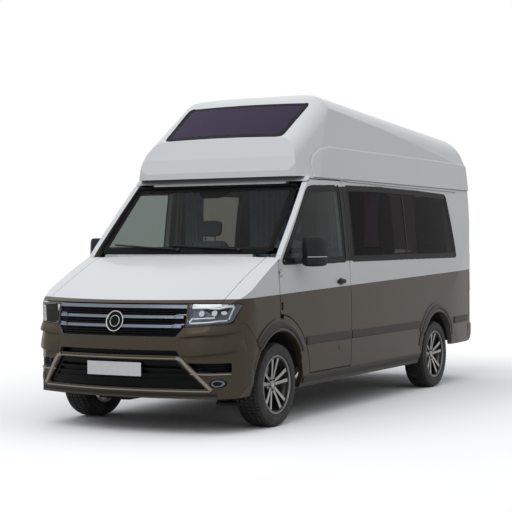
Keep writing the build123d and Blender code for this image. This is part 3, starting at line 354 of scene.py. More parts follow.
def gloss_plastic(name, shade, roughness=0.12):
    finish = Finish(name)
    haze = finish.noise(40, detail=2)
    tone = finish.blend(haze, shade, tuple(c * 0.9 for c in shade[:3]) + (1,))
    return finish.surface(
        Base_Color=tone, Roughness=haze * 0.06 + roughness, Specular_IOR_Level=0.08,
    )


def metal(name, shade, roughness=0.25, grain=300):
    finish = Finish(name)
    streak = finish.noise(grain, detail=2)
    tone = finish.blend(finish.noise(6), shade, tuple(c * 0.85 for c in shade[:3]) + (1,))
    return finish.surface(Base_Color=tone, Metallic=1.0, Roughness=streak * 0.12 + (roughness - 0.06))


def rubber(name, shade):
    finish = Finish(name)
    dust = finish.noise(9, detail=3)
    tone = finish.blend(dust.ramp(0.45, 0.8), shade, colour(70, 67, 62))
    pits = finish.noise(500, detail=2)
    return finish.surface(Base_Color=tone, Roughness=dust * 0.15 + 0.65,
        Normal=finish.bump(pits, 0.15, 0.0005))


# %% [markdown]
# Vehicle glass is thin, so light goes nearly straight through it: a transparent shader with a
# tint, mixed by Fresnel with a sharp reflection, looks right and stays quick. The windscreen is
# pale and the living-space windows are smoked.


# %% Glass
def thin_glass(name, tint, density=1.5, shine=(1, 1, 1, 1)):
    finish = Finish(name)
    clear = finish.node("ShaderNodeBsdfTransparent", Color=tint)
    mirror = finish.node("ShaderNodeBsdfGlossy", Color=shine, Roughness=0.015)
    edge = finish.node("ShaderNodeFresnel", IOR=density)
    both = finish.node("ShaderNodeMixShader", Fac=edge, i1=clear, i2=mirror)
    finish.tree.links.new(both.socket, finish.output.inputs["Surface"])
    return finish.material


PAINT = body_paint()
DARK_PLASTIC = grained_plastic("dark_plastic", colour(30, 31, 33))
BLACK_GLOSS = gloss_plastic("black_gloss", colour(9, 10, 11), roughness=0.3)
GREY_TRIM = grained_plastic("grey_trim", colour(74, 76, 80))
PALE_TRIM = grained_plastic("pale_trim", colour(170, 168, 164), grain=500)
BRIGHT = metal("bright_trim", colour(205, 207, 210), roughness=0.14)
ALLOY = metal("alloy", colour(124, 124, 124), roughness=0.38)
STEEL = metal("dull_steel", colour(120, 120, 122), roughness=0.45)
CAST = grained_plastic("cast_metal", colour(60, 60, 62), grain=200, roughness=0.6)
CHASSIS = grained_plastic("chassis_paint", colour(26, 26, 27), grain=60, roughness=0.45)
RUBBER = rubber("tyre_rubber", colour(27, 27, 28))
SCREEN_GLASS = thin_glass("windscreen_glass", (0.69, 0.72, 0.69, 1), density=1.12)
CAB_GLASS = thin_glass("cab_door_glass", (0.55, 0.58, 0.58, 1), density=1.08)
SMOKED_GLASS = thin_glass("smoked_glass", (0.40, 0.38, 0.38, 1), density=1.05)
ROOF_GLASS = thin_glass("roof_glass", (0.30, 0.22, 0.42, 1), density=1.28, shine=(0.74, 0.62, 1.0, 1))
LENS_GLASS = thin_glass("lamp_lens", (0.92, 0.94, 0.95, 1), density=1.25)
RED_LENS = gloss_plastic("red_lens", colour(150, 10, 12))
PLATE_WHITE = gloss_plastic("plate_white", colour(214, 216, 219), roughness=0.35)
SEAT_CLOTH = grained_plastic("seat_cloth", colour(128, 134, 150), grain=700, roughness=0.9)
MATTRESS = grained_plastic("mattress_cloth", colour(170, 162, 150), grain=400, roughness=0.95)
CABINET = grained_plastic("cabinet_board", colour(128, 104, 80), grain=250, roughness=0.5)

# %% Give each van node its finish
WEARS = {
    "two_tone_paint": (PAINT, (
        "body_shell", "high_roof", "hood", "front_bumper", "sliding_door", "cab_door_left", "cab_door_right",
        "rear_door_left", "rear_door_right", "rear_bumper",
    )),
    "windscreen_glass": (SCREEN_GLASS, ("windscreen",)),
    "cab_door_glass": (CAB_GLASS, ("cab_door_glass_left", "cab_door_glass_right")),
    "smoked_glass": (SMOKED_GLASS, ("side_windows", "rear_door_glass_left", "rear_door_glass_right")),
    "roof_glass": (ROOF_GLASS, ("roof_window",)),
    "lamp_lens": (LENS_GLASS, ("headlight_lenses",)),
    "red_lens": (RED_LENS, ("tail_lamps",)),
    "dark_plastic": (DARK_PLASTIC, ("cowl_panel", "wheel_housings", "mirror_left", "mirror_right",
        "steering_wheel")),
    "black_gloss": (BLACK_GLOSS, ("front_grilles", "front_carrier")),
    "grey_trim": (GREY_TRIM, ("dashboard", "headlights")),
    "bright_trim": (BRIGHT, ("grille_bars",)),
    "plate_white": (PLATE_WHITE, ("number_plates",)),
    "chassis_paint": (CHASSIS, ("floor_pan", "front_axle", "rear_axle", "fuel_tank")),
    "cast_metal": (CAST, ("engine_block", "knuckle_left", "knuckle_right")),
    "dull_steel": (STEEL, ("exhaust",)),
    "alloy": (ALLOY, tuple(n for n in NODES if n.startswith("wheel_") and n != "wheel_housings")),
    "tyre_rubber": (RUBBER, tuple(n for n in NODES if n.startswith("tyre_"))),
    "seat_cloth": (SEAT_CLOTH, ("front_seats", "dinette_bench")),
    "mattress_cloth": (MATTRESS, ("rear_bed",)),
    "cabinet_board": (CABINET, ("dinette_table", "washroom", "kitchen_unit")),
}
for finish_name, (material, node_names) in WEARS.items():
    for node_name in node_names:
        piece = NODES[node_name]
        piece.data.materials.clear()
        piece.data.materials.append(material)
    print(finish_name, "on", len(node_names), "nodes")
# %% [markdown]
# Most added pieces are rings of points joined into skins: a tyre is one outline turned about its
# axle, a spoke is four sections in a row. One small class collects such skins, so that a piece
# made of many skins still becomes a single tidy mesh. A second helper finds the painted skin
# under a point, which lets every trim sit exactly on the panel that carries it.


# %% A collector of skins
class Shape:
    """Points and faces gathered from lofts, turned outlines and boxes, with a material number each."""

    def __init__(self):
        self.points = []
        self.faces = []
        self.slots = []

    def loft(self, rings, slot=0, capped=True, looped=False, round_ring=True):
        """Join rings of points; looped joins the last ring to the first."""
        start = len(self.points)
        count = len(rings[0])
        for ring in rings:
            self.points.extend(Vector(point) for point in ring)
        pairs = [(i, i + 1) for i in range(len(rings) - 1)]
        if looped:
            pairs.append((len(rings) - 1, 0))
        steps = count if round_ring else count - 1
        for low, high in pairs:
            for j in range(steps):
                k = (j + 1) % count
                low_row = start + low * count
                high_row = start + high * count
                self.faces.append((low_row + j, low_row + k, high_row + k, high_row + j))
                self.slots.append(slot)
        if capped and not looped:
            self.faces.append(tuple(start + j for j in range(count)))
            self.faces.append(tuple(start + (len(rings) - 1) * count + j for j in range(count)))
            self.slots += [slot, slot]
        return self

    def turned(self, profile, centre, segments=96, slot=0, side=1):
        """Turn a closed outline of (x, radius) pairs about a line along X."""
        rings = []
        for step in range(segments):
            angle = 2 * math.pi * step / segments
            rings.append([
                (centre[0] + side * x, centre[1] + r * math.cos(angle), centre[2] + r * math.sin(angle))
                for x, r in profile
            ])
        return self.loft(rings, slot, looped=True)

    def box(self, low, high, slot=0):
        ring = [(low[0], low[1]), (high[0], low[1]), (high[0], high[1]), (low[0], high[1])]
        return self.loft([[(x, y, z) for x, y in ring] for z in (low[2], high[2])], slot)

    def piece(self, name, materials, body, node=None, slot=None, smooth=35, bevel=0):
        """Make the mesh object, let it ride on a body and let it stand for a model node."""
        mesh = bpy.data.meshes.new(name)
        mesh.from_pydata(self.points, [], self.faces)
        for material in materials:
            mesh.materials.append(material)
        for face, number in zip(mesh.polygons, self.slots):
            face.material_index = number
        tidy = bmesh.new()
        tidy.from_mesh(mesh)
        bmesh.ops.recalc_face_normals(tidy, faces=tidy.faces)
        tidy.to_mesh(mesh)
        tidy.free()
        mesh.shade_smooth()
        mesh.set_sharp_from_angle(angle=math.radians(smooth))
        thing = bpy.data.objects.new(name, mesh)
        bpy.context.scene.collection.objects.link(thing)
        if bevel:
            edge = thing.modifiers.new("edge", "BEVEL")
            edge.width = bevel
            edge.segments = 2
            edge.limit_method = "ANGLE"
            edge.angle_limit = math.radians(smooth)
        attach(thing, body)
        if node:
            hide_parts(node)
        return thing


# %% The painted skin under a point
def tree_of(names):
    """A search tree over the faces of several van nodes."""
    points = []
    faces = []
    for name in names:
        mesh = NODES[name].data
        start = len(points)
        points += [v.co.copy() for v in mesh.vertices]
        faces += [[start + i for i in polygon.vertices] for polygon in mesh.polygons]
    return BVHTree.FromPolygons(points, faces)


SKIN = tree_of((
    "body_shell", "high_roof", "hood", "front_bumper", "sliding_door", "cab_door_left", "cab_door_right",
    "rear_door_left", "rear_door_right", "rear_bumper", "side_windows", "cab_door_glass_left",
    "cab_door_glass_right", "windscreen", "headlight_lenses", "roof_window", "rear_door_glass_left",
    "rear_door_glass_right", "tail_lamps", "grille_bars", "front_grilles",
))


SEAM_STEP = 0.012


SEAM_DEPTH = 0.04
SQUARE_ON = 0.45


def spot_on(origin, direction):
    """Where a ray meets the van's skin, and the outward normal there. Over a seam, its edge's depth is used."""
    origin = Vector(origin)
    ahead = Vector(direction)
    aside = Vector((0, 0, 1)) if abs(ahead.z) < 0.5 else Vector((1, 0, 0))
    steps = (Vector(), aside, -aside, aside.cross(ahead), ahead.cross(aside))
    hits = []
    for step in steps:
        hit, normal, _, distance = SKIN.ray_cast(origin + step * SEAM_STEP, ahead)
        hits.append((distance if hit else 99.0, normal if hit else -ahead))
    middle = hits[0][0]
    distance = sorted((middle, (hits[1][0] + hits[2][0]) / 2, (hits[3][0] + hits[4][0]) / 2))[1]
    nearest = min(hits, key=lambda found: found[0])[0]
    if distance > nearest + SEAM_DEPTH:
        distance = nearest
    facing = Vector()
    for found, normal in hits:
        if found < 90 and abs(normal.dot(ahead)) > SQUARE_ON:
            facing += normal if normal.dot(ahead) < 0 else -normal
    if facing.length < 0.1:
        facing = -ahead
    return origin + ahead * distance, facing.normalized()


def side_spot(side, y, z):
    return spot_on((side * 1.5, y, z), (-side, 0, 0))


def front_spot(x, z):
    return spot_on((x, -4, z), (0, 1, 0))


def rear_spot(x, z):
    return spot_on((x, 4, z), (0, -1, 0))


def top_spot(x, y):
    return spot_on((x, y, 4), (0, 0, -1))


def trim(shape, spots, width, proud, slot=0, looped=False, sunk=0.002, flat=0.7):
    """Lay a moulding along points on the skin: width across it, proud off it."""
    rings = []
    count = len(spots)
    for i, (point, normal) in enumerate(spots):
        after = spots[(i + 1) % count][0] if looped or i < count - 1 else point
        before = spots[i - 1][0] if looped or i > 0 else point
        across = normal.cross(after - before).normalized() * (width / 2)
        rings.append([
            point - across - normal * sunk, point - across * flat + normal * proud,
            point + across * flat + normal * proud, point + across - normal * sunk,
        ])
    return shape.loft(rings, slot, looped=looped)


def between(start, end, steps):
    """Evenly spaced pairs from one pair of numbers to another."""
    return [
        tuple(a + (b - a) * i / steps for a, b in zip(start, end))
        for i in range(steps + 1)
    ]


def along(corners, step=0.05):
    """Pairs along a line of corners, no further apart than a step."""
    found = [corners[0]]
    for start, end in zip(corners, corners[1:]):
        length = math.dist(start, end)
        found += between(start, end, max(1, math.ceil(length / step)))[1:]
    return found


def rounded(corners, radius, steps=4):
    """A closed outline with each corner turned into a small arc."""
    found = []
    count = len(corners)
    for i, corner in enumerate(corners):
        here = Vector(corner)
        before = Vector(corners[i - 1]) - here
        after = Vector(corners[(i + 1) % count]) - here
        start = here + before.normalized() * radius
        end = here + after.normalized() * radius
        for step in range(steps + 1):
            t = step / steps
            found.append(tuple(start * (1 - t) ** 2 + here * 2 * t * (1 - t) + end * t ** 2))
    return found


def closed_path(corners, radius, step=0.06):
    """Pairs along a closed outline with rounded corners."""
    arc = rounded(corners, radius)
    return along(arc + arc[:1], step)[:-1]


print("skin tree ready:", side_spot(1, back(3.0), 0.9)[0])
# %% [markdown]
# The tyres
#
# A road tyre is a smooth carcass whose tread is cut into ribs and blocks. The carcass is one
# outline turned about the axle. The tread is made block by block round the tyre: five rows, the
# outer two skewed like shoulders, each block standing a few millimetres proud of the carcass.

# %% Tyres
TYRE_RADIUS = 0.353
TREAD_DEPTH = 0.009
WHEEL_X = 0.8705
AXLES = {"front": back(1.0), "rear": back(4.64)}
# across the tyre, radius
CARCASS = (
    (-0.100, 0.2225), (-0.104, 0.236), (-0.111, 0.240), (-0.1135, 0.262), (-0.1165, 0.290), (-0.1125, 0.318),
    (-0.103, 0.335), (-0.088, 0.343), (0.088, 0.343), (0.103, 0.335), (0.1125, 0.318), (0.1165, 0.292),
    (0.1145, 0.268), (0.111, 0.252), (0.104, 0.246), (0.100, 0.2225),
)
# tread rows: near edge, far edge, skew, drop of the outer edge
TREAD_ROWS = (
    (-0.108, -0.074, 0.5, 0.014), (-0.064, -0.030, 0.25, 0.001), (-0.021, 0.021, -0.25, 0),
    (0.030, 0.064, 0.25, 0.001), (0.074, 0.108, 0.5, 0.014),
)
TREAD_PITCHES = 64


def tread_block(shape, centre, near, far, start, sweep, skew, drop):
    """One block: a curved slab between two angles."""
    rings = []
    for x, lean in ((near, -skew), (far, skew)):
        outer = drop if abs(x) > 0.1 else 0
        ring = []
        for angle in (start + lean * sweep * 0.3, start + sweep * 0.78 + lean * sweep * 0.3):
            for radius in (TYRE_RADIUS - TREAD_DEPTH - 0.004 - outer, TYRE_RADIUS - 0.0006 - outer):
                ring.append((centre[0] + x, centre[1] + radius * math.cos(angle),
                    centre[2] + radius * math.sin(angle)))
        rings.append([ring[0], ring[1], ring[3], ring[2]])
    shape.loft(rings)


def tyre(corner, side):
    centre = (side * WHEEL_X, AXLES[corner], TYRE_RADIUS)
    shape = Shape()
    shape.turned(CARCASS, centre, segments=128)
    for ridge in (0.262, 0.268, 0.308):
        bulge = 0.1140
        shape.turned(
            ((bulge - 0.003, ridge - 0.002), (bulge + 0.001, ridge), (bulge - 0.003, ridge + 0.002)),
            centre, segments=96, side=side,
        )
    sweep = 2 * math.pi / TREAD_PITCHES
    for step in range(TREAD_PITCHES):
        for near, far, skew, drop in TREAD_ROWS:
            tread_block(shape, centre, near, far, step * sweep, sweep, skew, drop)
    return shape


# %% [markdown]
# The alloy wheels
#
# The wheel is a deep barrel with five pairs of spokes. The spokes' faces are cut bright on a
# lathe and their flanks are painted dark, which makes the pairs read from far away. Each spoke
# is lofted from four sections that widen and step outwards towards the rim.

# %% Wheels
SPOKE_PAIRS = 5
# barrel outline: across the wheel, radius
BARREL = (
    (-0.108, 0.214), (-0.108, 0.229), (-0.101, 0.229), (-0.101, 0.2215), (0.098, 0.2215), (0.101, 0.243),
    (0.107, 0.247), (0.110, 0.242), (0.107, 0.233), (0.094, 0.228), (0.074, 0.222), (0.030, 0.215),
    (-0.080, 0.212),
)
# spoke stations: radius, middle offset, half width, depth of the face from the rim plane, thickness
SPOKE = (
    (0.048, 0.015, 0.017, 0.040, 0.030), (0.098, 0.023, 0.0155, 0.030, 0.030),
    (0.168, 0.037, 0.018, 0.018, 0.026), (0.231, 0.053, 0.022, 0.007, 0.020),
)
FACE_X = 0.104
HUB_RADIUS = 0.062
BOLT_CIRCLE = 0.046
DARK_ALLOY = metal("dark_alloy_paint", colour(70, 70, 74), roughness=0.4)
CUT_ALLOY = metal("cut_alloy", colour(152, 150, 147), roughness=0.26, grain=900)


def about_axle(centre, side, x, radius, across, angle):
    """A point given along and across a spoke that stands at an angle."""
    y = radius * math.cos(angle) - across * math.sin(angle)
    z = radius * math.sin(angle) + across * math.cos(angle)
    return (centre[0] + side * x, centre[1] + y, centre[2] + z)


def add_spoke(shape, centre, side, angle, lean):
    rings = []
    for radius, offset, half, depth, thickness in SPOKE:
        face = FACE_X - depth
        section = (
            (face, -half * 0.82), (face, half * 0.82), (face - 0.006, half), (face - thickness, half * 0.8),
            (face - thickness, -half * 0.8), (face - 0.006, -half),
        )
        rings.append([about_axle(centre, side, x, radius, lean * offset + w, angle) for x, w in section])
    first = len(shape.faces)
    shape.loft(rings, slot=1)
    for row in range(len(SPOKE) - 1):
        shape.slots[first + row * 6] = 0


def wheel(corner, side):
    centre = (side * WHEEL_X, AXLES[corner], TYRE_RADIUS)
    shape = Shape()
    shape.turned(BARREL, centre, segments=120, side=side, slot=2)
    for pair in range(SPOKE_PAIRS):
        angle = math.pi / 2 + 2 * math.pi * pair / SPOKE_PAIRS
        for lean in (1, -1):
            add_spoke(shape, centre, side, angle, lean)
    hub = ((0.030, 0.0205), (0.030, 0.080), (0.050, 0.078), (0.062, HUB_RADIUS), (0.064, 0.040),
        (0.060, 0.034), (0.060, 0.0205))
    shape.turned(hub, centre, segments=60, side=side, slot=2)
    cap = ((0.058, 0.001), (0.058, 0.0335), (0.066, 0.0335), (0.069, 0.028), (0.0675, 0.024), (0.0675, 0.001))
    shape.turned(cap, centre, segments=48, side=side, slot=0)
    for bolt in range(SPOKE_PAIRS):
        angle = math.pi / 2 + 2 * math.pi * (bolt + 0.5) / SPOKE_PAIRS
        rings = []
        for x, radius in ((0.060, 0.0085), (0.072, 0.0085), (0.074, 0.006)):
            rings.append([
                about_axle(centre, side, x, BOLT_CIRCLE + radius * math.cos(turn * math.pi / 3),
                    radius * math.sin(turn * math.pi / 3), angle)
                for turn in range(6)
            ])
        shape.loft(rings, slot=1)
    return shape


# the brake disc that shows between the spokes, and its carrier
DISC = ((-0.012, 0.060), (-0.012, 0.155), (0.010, 0.155), (0.010, 0.085), (0.032, 0.080), (0.032, 0.022),
    (0.026, 0.022), (0.026, 0.060))
BRAKE_STEEL = metal("brake_steel", colour(140, 138, 134), roughness=0.35, grain=120)
for corner in AXLES:
    for side_name, side in (("left", 1), ("right", -1)):
        place = corner + "_" + side_name
        rolls = "wheel_" + place
        tyre(corner, side).piece("tyre_tread_" + place, [RUBBER], rolls, node="tyre_" + place, slot="tyre",
            smooth=30)
        wheel(corner, side).piece("alloy_" + place, [CUT_ALLOY, DARK_ALLOY, ALLOY], rolls,
            node="wheel_" + place, slot="alloy")
        centre = (side * WHEEL_X, AXLES[corner], TYRE_RADIUS)
        disc = Shape().turned(DISC, centre, segments=72, side=side)
        disc.piece("brake_disc_" + place, [BRAKE_STEEL], rolls, slot="bare_metal")
        print("wheel ready:", place)
# %% [markdown]
# The headlights
#
# Behind the clear lens lies a grey bowl. Bright light bars run along its top, down its outer end
# and along its lower edge, two shorter ones frame the inner lower corner, and three round lens
# modules sit between them. The bowl's back is the lamp's outline pushed inwards, so it follows
# the curved wing; the bars follow the same curve.

# %% Lamp finishes
LAMP = ((0.628, 0.885), (0.935, 0.905), (0.980, 1.056), (0.645, 1.056))
BOWL_GREY = gloss_plastic("lamp_bowl", colour(128, 133, 141), roughness=0.2)


def light_bar():
    """White diffuser plastic that glows a little, with fine prisms across it."""
    finish = Finish("light_bar")
    x, y, z = finish.place()
    prisms = ((x + z) * 900).sine() * 0.5 + 0.5
    shade = finish.blend(prisms, colour(214, 218, 224), colour(246, 248, 252))
    return finish.surface(
        Base_Color=shade, Emission_Color=shade, Emission_Strength=0.25, Roughness=0.25, Coat_Weight=0.5,
    )


LIGHT_BAR = light_bar()
MODULE_GLASS = gloss_plastic("lens_module", colour(20, 24, 34), roughness=0.04)


def lamp_spot(side, x, z, depth):
    """A point inside the lamp, a depth behind its lens."""
    point, normal = front_spot(side * x, z)
    return point - normal * depth, normal


# %% Headlight insides
def headlight(side):
    lamp = Shape()
    outline = rounded(LAMP, 0.02)
    middle = Vector((0.80, 0.975))
    rings = []
    for depth, size in ((0.008, 0.985), (0.022, 0.95), (0.044, 0.86), (0.046, 0.02)):
        ring = []
        for x, z in outline:
            inner = middle + (Vector((x, z)) - middle) * size
            ring.append(lamp_spot(side, inner.x, inner.y, depth)[0])
        rings.append(ring)
    lamp.loft(rings, slot=0, capped=False)
    bars = (
        (((0.655, 1.036), (0.945, 1.038)), 0.022), (((0.948, 1.032), (0.922, 0.932)), 0.012),
        (((0.650, 0.908), (0.915, 0.924)), 0.013), (((0.645, 0.915), (0.668, 0.950)), 0.012),
        (((0.676, 0.944), (0.842, 0.953)), 0.011),
    )
    for ends, width in bars:
        trim(lamp, [lamp_spot(side, x, z, 0.018) for x, z in along(ends, 0.02)], width, 0.006, slot=1)
    for x, z, radius in ((0.735, 0.985, 0.026), (0.835, 0.988, 0.026), (0.898, 0.985, 0.018)):
        for slot, inner, outer, low, high in ((2, 0.0, 0.82, 0.030, 0.018), (3, 0.82, 1.0, 0.032, 0.014)):
            rings = []
            for depth, reach in ((low, outer), (high, outer), (high - 0.003, (inner + outer) / 2),
                (high, inner + 0.02)):
                rings.append([
                    lamp_spot(side, x + radius * reach * math.cos(a), z + radius * reach * math.sin(a),
                        depth)[0]
                    for a in (2 * math.pi * k / 20 for k in range(20))
                ])
            lamp.loft(rings, slot=slot)
    return lamp


both_lamps = Shape()
for side in (1, -1):
    inside = headlight(side)
    start = len(both_lamps.points)
    both_lamps.points += inside.points
    both_lamps.faces += [tuple(start + i for i in face) for face in inside.faces]
    both_lamps.slots += inside.slots
both_lamps.piece(
    "headlight_insides", [BOWL_GREY, LIGHT_BAR, MODULE_GLASS, BRIGHT], "van_body", node="headlights",
    slot="lamp_housing",
)
print("headlights ready")

# %% [markdown]
# The grille and bumper
#
# The grille's bars end in a small step by the lamps, and a plain ring stands in the middle. The
# bumper is not one smooth form: a crease leaves it just above the side slots, a wide shoulder
# rises to the lamps, and pale strips frame the lower grille. Each is laid on the bumper's skin.

# %% Grille bar ends, ring and mesh
BAR_SILVER = metal("bar_silver", colour(120, 126, 141), roughness=0.25)
NODES["grille_bars"].data.materials[0] = BAR_SILVER
grille_trim = Shape()
for side in (1, -1):
    for inner_z, outer_z, reach in ((0.9545, 0.968, 0.604), (0.8805, 0.894, 0.596)):
        ends = ((side * (reach - 0.085), inner_z), (side * (reach - 0.055), outer_z),
            (side * (reach + 0.008), outer_z + 0.002))
        trim(grille_trim, [front_spot(x, z) for x, z in along(ends, 0.02)], 0.021, 0.006)
grille_trim.piece("grille_bar_ends", [BAR_SILVER], "van_body", slot="bright_trim")

# the nose leans back by this much for each metre of height between the bars
NOSE_LEAN = 0.2556
TOP_BAR_Z = 1.038
RING_Z = 0.918
ring_at = front_spot(0, RING_Z)[0].y
badge = Shape()


def turned_forward(shape, profile, x, z, face_y, segments=48, slot=0):
    """Turn an outline of (forward, radius) pairs about a line along Y."""
    rings = []
    for k in range(segments):
        angle = 2 * math.pi * k / segments
        rise = math.sin(angle)
        rings.append([(x + r * math.cos(angle), face_y - f + r * rise * NOSE_LEAN, z + r * rise) for f,
            r in profile])
    return shape.loft(rings, slot, looped=True)


turned_forward(badge, ((-0.004, 0.073), (0.003, 0.073), (0.009, 0.077), (0.008, 0.083), (-0.004, 0.086)), 0,
    RING_Z, ring_at)
turned_forward(badge, ((0.0, 0.001), (0.0, 0.074), (0.0035, 0.073), (0.005, 0.040), (0.0055, 0.001)), 0,
    RING_Z, ring_at, slot=1)
turned_forward(badge, ((0.003, 0.040), (0.003, 0.048), (0.007, 0.046), (0.007, 0.042)), 0, RING_Z, ring_at)
badge.piece("grille_ring", [BRIGHT, BLACK_GLOSS], "van_body", slot="bright_trim")

MESH_DEPTH = 0.016
mesh_trim = Shape()
for row in range(12):
    z = 0.806 + row * 0.0195
    half = min(0.550 + (z - 0.797) * 0.66, 0.606)
    spots = []
    for x in [half * k / 12 for k in range(-12, 13)]:
        face_y = front_spot(x, TOP_BAR_Z)[0].y - (TOP_BAR_Z - z) * NOSE_LEAN
        spots.append((Vector((x, face_y + MESH_DEPTH, z)), Vector((0, -1, 0))))
    trim(mesh_trim, spots, 0.0155, 0.004, sunk=0.006)
mesh_trim.piece("grille_mesh", [BLACK_GLOSS], "van_body", slot="black_plastic")

# %% Bumper shoulder, crease and strips
bumper_forms = Shape()


def bulge(side, upper, lower, proud):
    """A wedge on the bumper: flush along its upper edge, proud along its lower one."""
    rings = []
    full = proud
    last = len(upper) - 1
    for k, ((x0, z0), (x1, z1)) in enumerate(zip(upper, lower)):
        t = k / last
        proud = full * min(1, 0.10 + 4.5 * t, 0.10 + 3.0 * (1 - t))
        top, top_normal = front_spot(side * x0, z0)
        foot, foot_normal = front_spot(side * x1, z1)
        middle, middle_normal = front_spot(side * (x0 + x1) / 2, (z0 + z1) / 2)
        rings.append([
            top - top_normal * 0.003, top + top_normal * 0.001, middle + middle_normal * proud * 0.62,
            foot + foot_normal * proud,
            foot + foot_normal * (proud - 0.004) - Vector((0, 0, 0.012)),
            foot - foot_normal * 0.003 - Vector((0, 0, 0.016)),
        ])
    bumper_forms.loft(rings)


for side in (1, -1):
    bulge(side, between((0.58, 0.775), (0.975, 0.822), 14), between((0.60, 0.652), (0.988, 0.690), 14), 0.022)
    bulge(side, between((0.60, 0.868), (0.965, 0.896), 12), between((0.575, 0.800), (0.975, 0.838), 12),
        0.026)
bumper_forms.piece("bumper_shoulders", [PAINT], "van_body", slot="body_paint", smooth=50)

STRIP_SILVER = metal("strip_silver", colour(132, 127, 119), roughness=0.35)
strips = Shape()
for side in (1, -1):
    trim(strips, [front_spot(side * x, z) for x,
        z in along(((0.560, 0.632), (0.600, 0.618), (0.812, 0.372)), 0.03)], 0.036, 0.009)
    trim(strips, [front_spot(side * x, z) for x, z in along(((0.655, 0.503), (0.925, 0.497)), 0.04)], 0.014,
        0.008)
trim(strips, [front_spot(x, z) for x, z in along(((-0.795, 0.363), (0.795, 0.363)), 0.06)], 0.016, 0.0052)
trim(strips, [front_spot(x, z) for x, z in along(((-0.560, 0.6255), (0.560, 0.6255)), 0.06)], 0.012, 0.006)
for point in strips.points:
    point.y = max(point.y, NOSE_Y + 0.0002)
strips.piece("bumper_strips", [STRIP_SILVER], "van_body", slot="bright_trim")

under_tray = Shape()
trim(under_tray, [front_spot(x, 0.331) for x in [i * 0.05 for i in range(-17, 18)]], 0.026, 0.004)
under_tray.piece("bumper_under_lip", [DARK_PLASTIC], "van_body", slot="black_plastic")

# %% Fog lamps and side slots
fogs = Shape()
for side in (1, -1):
    x, z = 0.855, 0.425
    spot, normal = front_spot(side * x, z)
    for radius, proud, slot in ((0.036, 0.003, 0), (0.028, 0.0045, 1), (0.018, 0.006, 2)):
        rings = []
        for lift, reach in ((-0.002, 1.0), (proud, 0.96), (proud + 0.001, 0.02)):
            ring = []
            for k in range(24):
                angle = 2 * math.pi * k / 24
                point, out = front_spot(side * (x + 1.5 * radius * reach * math.cos(angle)),
                    z + radius * reach * math.sin(angle))
                ring.append(point + out * lift)
            rings.append(ring)
        fogs.loft(rings, slot=slot)
    for row in range(3):
        level = 0.528 + row * 0.020
        spots = [front_spot(side * px, 0.50) for px in (0.70, 0.76, 0.82, 0.88, 0.92)]
        moved = [(Vector((p.x, p.y + 0.030, level)), n) for p, n in spots]
        trim(fogs, moved, 0.007, 0.005, slot=0)
fogs.piece("fog_lamps", [BLACK_GLOSS, BOWL_GREY, MODULE_GLASS], "van_body", slot="lamp_housing")
GRILLE_EDGE = 0.60
backing = Shape()
for half_width, levels, face_level, sunk in (
    (0.80, (0.385, 0.62, 0.70), 0.632, 0.066), (GRILLE_EDGE, (0.75, 0.90, 1.03), TOP_BAR_Z, 0.036),
):
    rings = []
    for x in [half_width * k / 10 for k in range(-10, 11)]:
        face_y = front_spot(x, face_level)[0].y
        rings.append([(x, face_y + sunk, z) for z in levels])
    backing.loft(rings, capped=False, round_ring=False)
backing.piece("grille_backing", [BLACK_GLOSS], "van_body", slot="black_plastic")
print("front ready")
# %% [markdown]
# Trims along the sides
#
# Strips, seals and handles all lie on a panel and must not cross the gap beside it, so each is
# cut at the door edges and rides on the panel that carries it. Every strip is a shallow section
# drawn along points found on the skin. Doors and body share one table of stretches.

# %% Stretches of side panel
# body it rides on, side of the van, first and last distance behind the bumper at strip height
DOOR_FRONT = 1.506
DOOR_REAR = 2.436
SIDE_START = 2.452
SIDE_END = 4.140
TAIL_START = 5.152
STRIP_RUNS = (
    ("cab_door_left", 1, DOOR_FRONT, DOOR_REAR), ("van_body", 1, SIDE_START, SIDE_END),
    ("cab_door_right", -1, DOOR_FRONT, DOOR_REAR), ("van_body", -1, SIDE_START, 2.554),
    ("van_body", -1, 2.566, 3.844), ("van_body", -1, 3.858, SIDE_END),
    ("van_body", 1, TAIL_START, 5.655), ("van_body", -1, TAIL_START, 5.655),
)
STRIP_GREY = grained_plastic("strip_grey", colour(54, 52, 49))
for number, (body, side, start, end) in enumerate(STRIP_RUNS):
    strip = Shape()
    path = along(((start, 0.692), (end, 0.694)), 0.08)
    trim(strip, [side_spot(side, back(y), z) for y, z in path], 0.078, 0.009, flat=0.82)
    strip.piece("rub_strip_%d" % number, [STRIP_GREY], body, slot="black_plastic", bevel=0.002)
print("rub strips:", len(STRIP_RUNS))

# %% Sill covers and arch lips
SILL_RUNS = ((1, 1.475, 4.165), (-1, 1.475, 4.165))
for side, start, end in SILL_RUNS:
    sill = Shape()
    path = along(((start, 0.352), (end, 0.352)), 0.1)
    trim(sill, [side_spot(side, back(y), z) for y, z in path], 0.062, 0.010, flat=0.8)
    sill.piece("sill_cover_%s" % ("left" if side > 0 else "right"), [STRIP_GREY], "van_body",
        slot="black_plastic", bevel=0.003)
AXLE_PLACES = (1.0, 4.64)
for side_name, side in (("left", 1), ("right", -1)):
    lips = Shape()
    for place in AXLE_PLACES:
        low = 10 if place > 2 else 20
        high = 180 - (24 if place < 2 else 14)
        arc = []
        for k in range(49):
            angle = math.radians(low + (high - low) * k / 48)
            arc.append(side_spot(side, back(place - 0.462 * math.cos(angle)),
                0.353 + 0.462 * math.sin(angle)))
        trim(lips, arc, 0.022, 0.007, flat=0.6)
    lips.piece("arch_lips_" + side_name, [PAINT], "van_body", slot="body_paint", smooth=60)
print("sills and arch lips ready")

# %% [markdown]
# Window surrounds
#
# Glass is bonded into a shallow bed and a rubber lip hides the joint. The side windows read as
# one dark band because the pillars between the panes are covered with gloss black. A raised
# rain channel runs above the band.

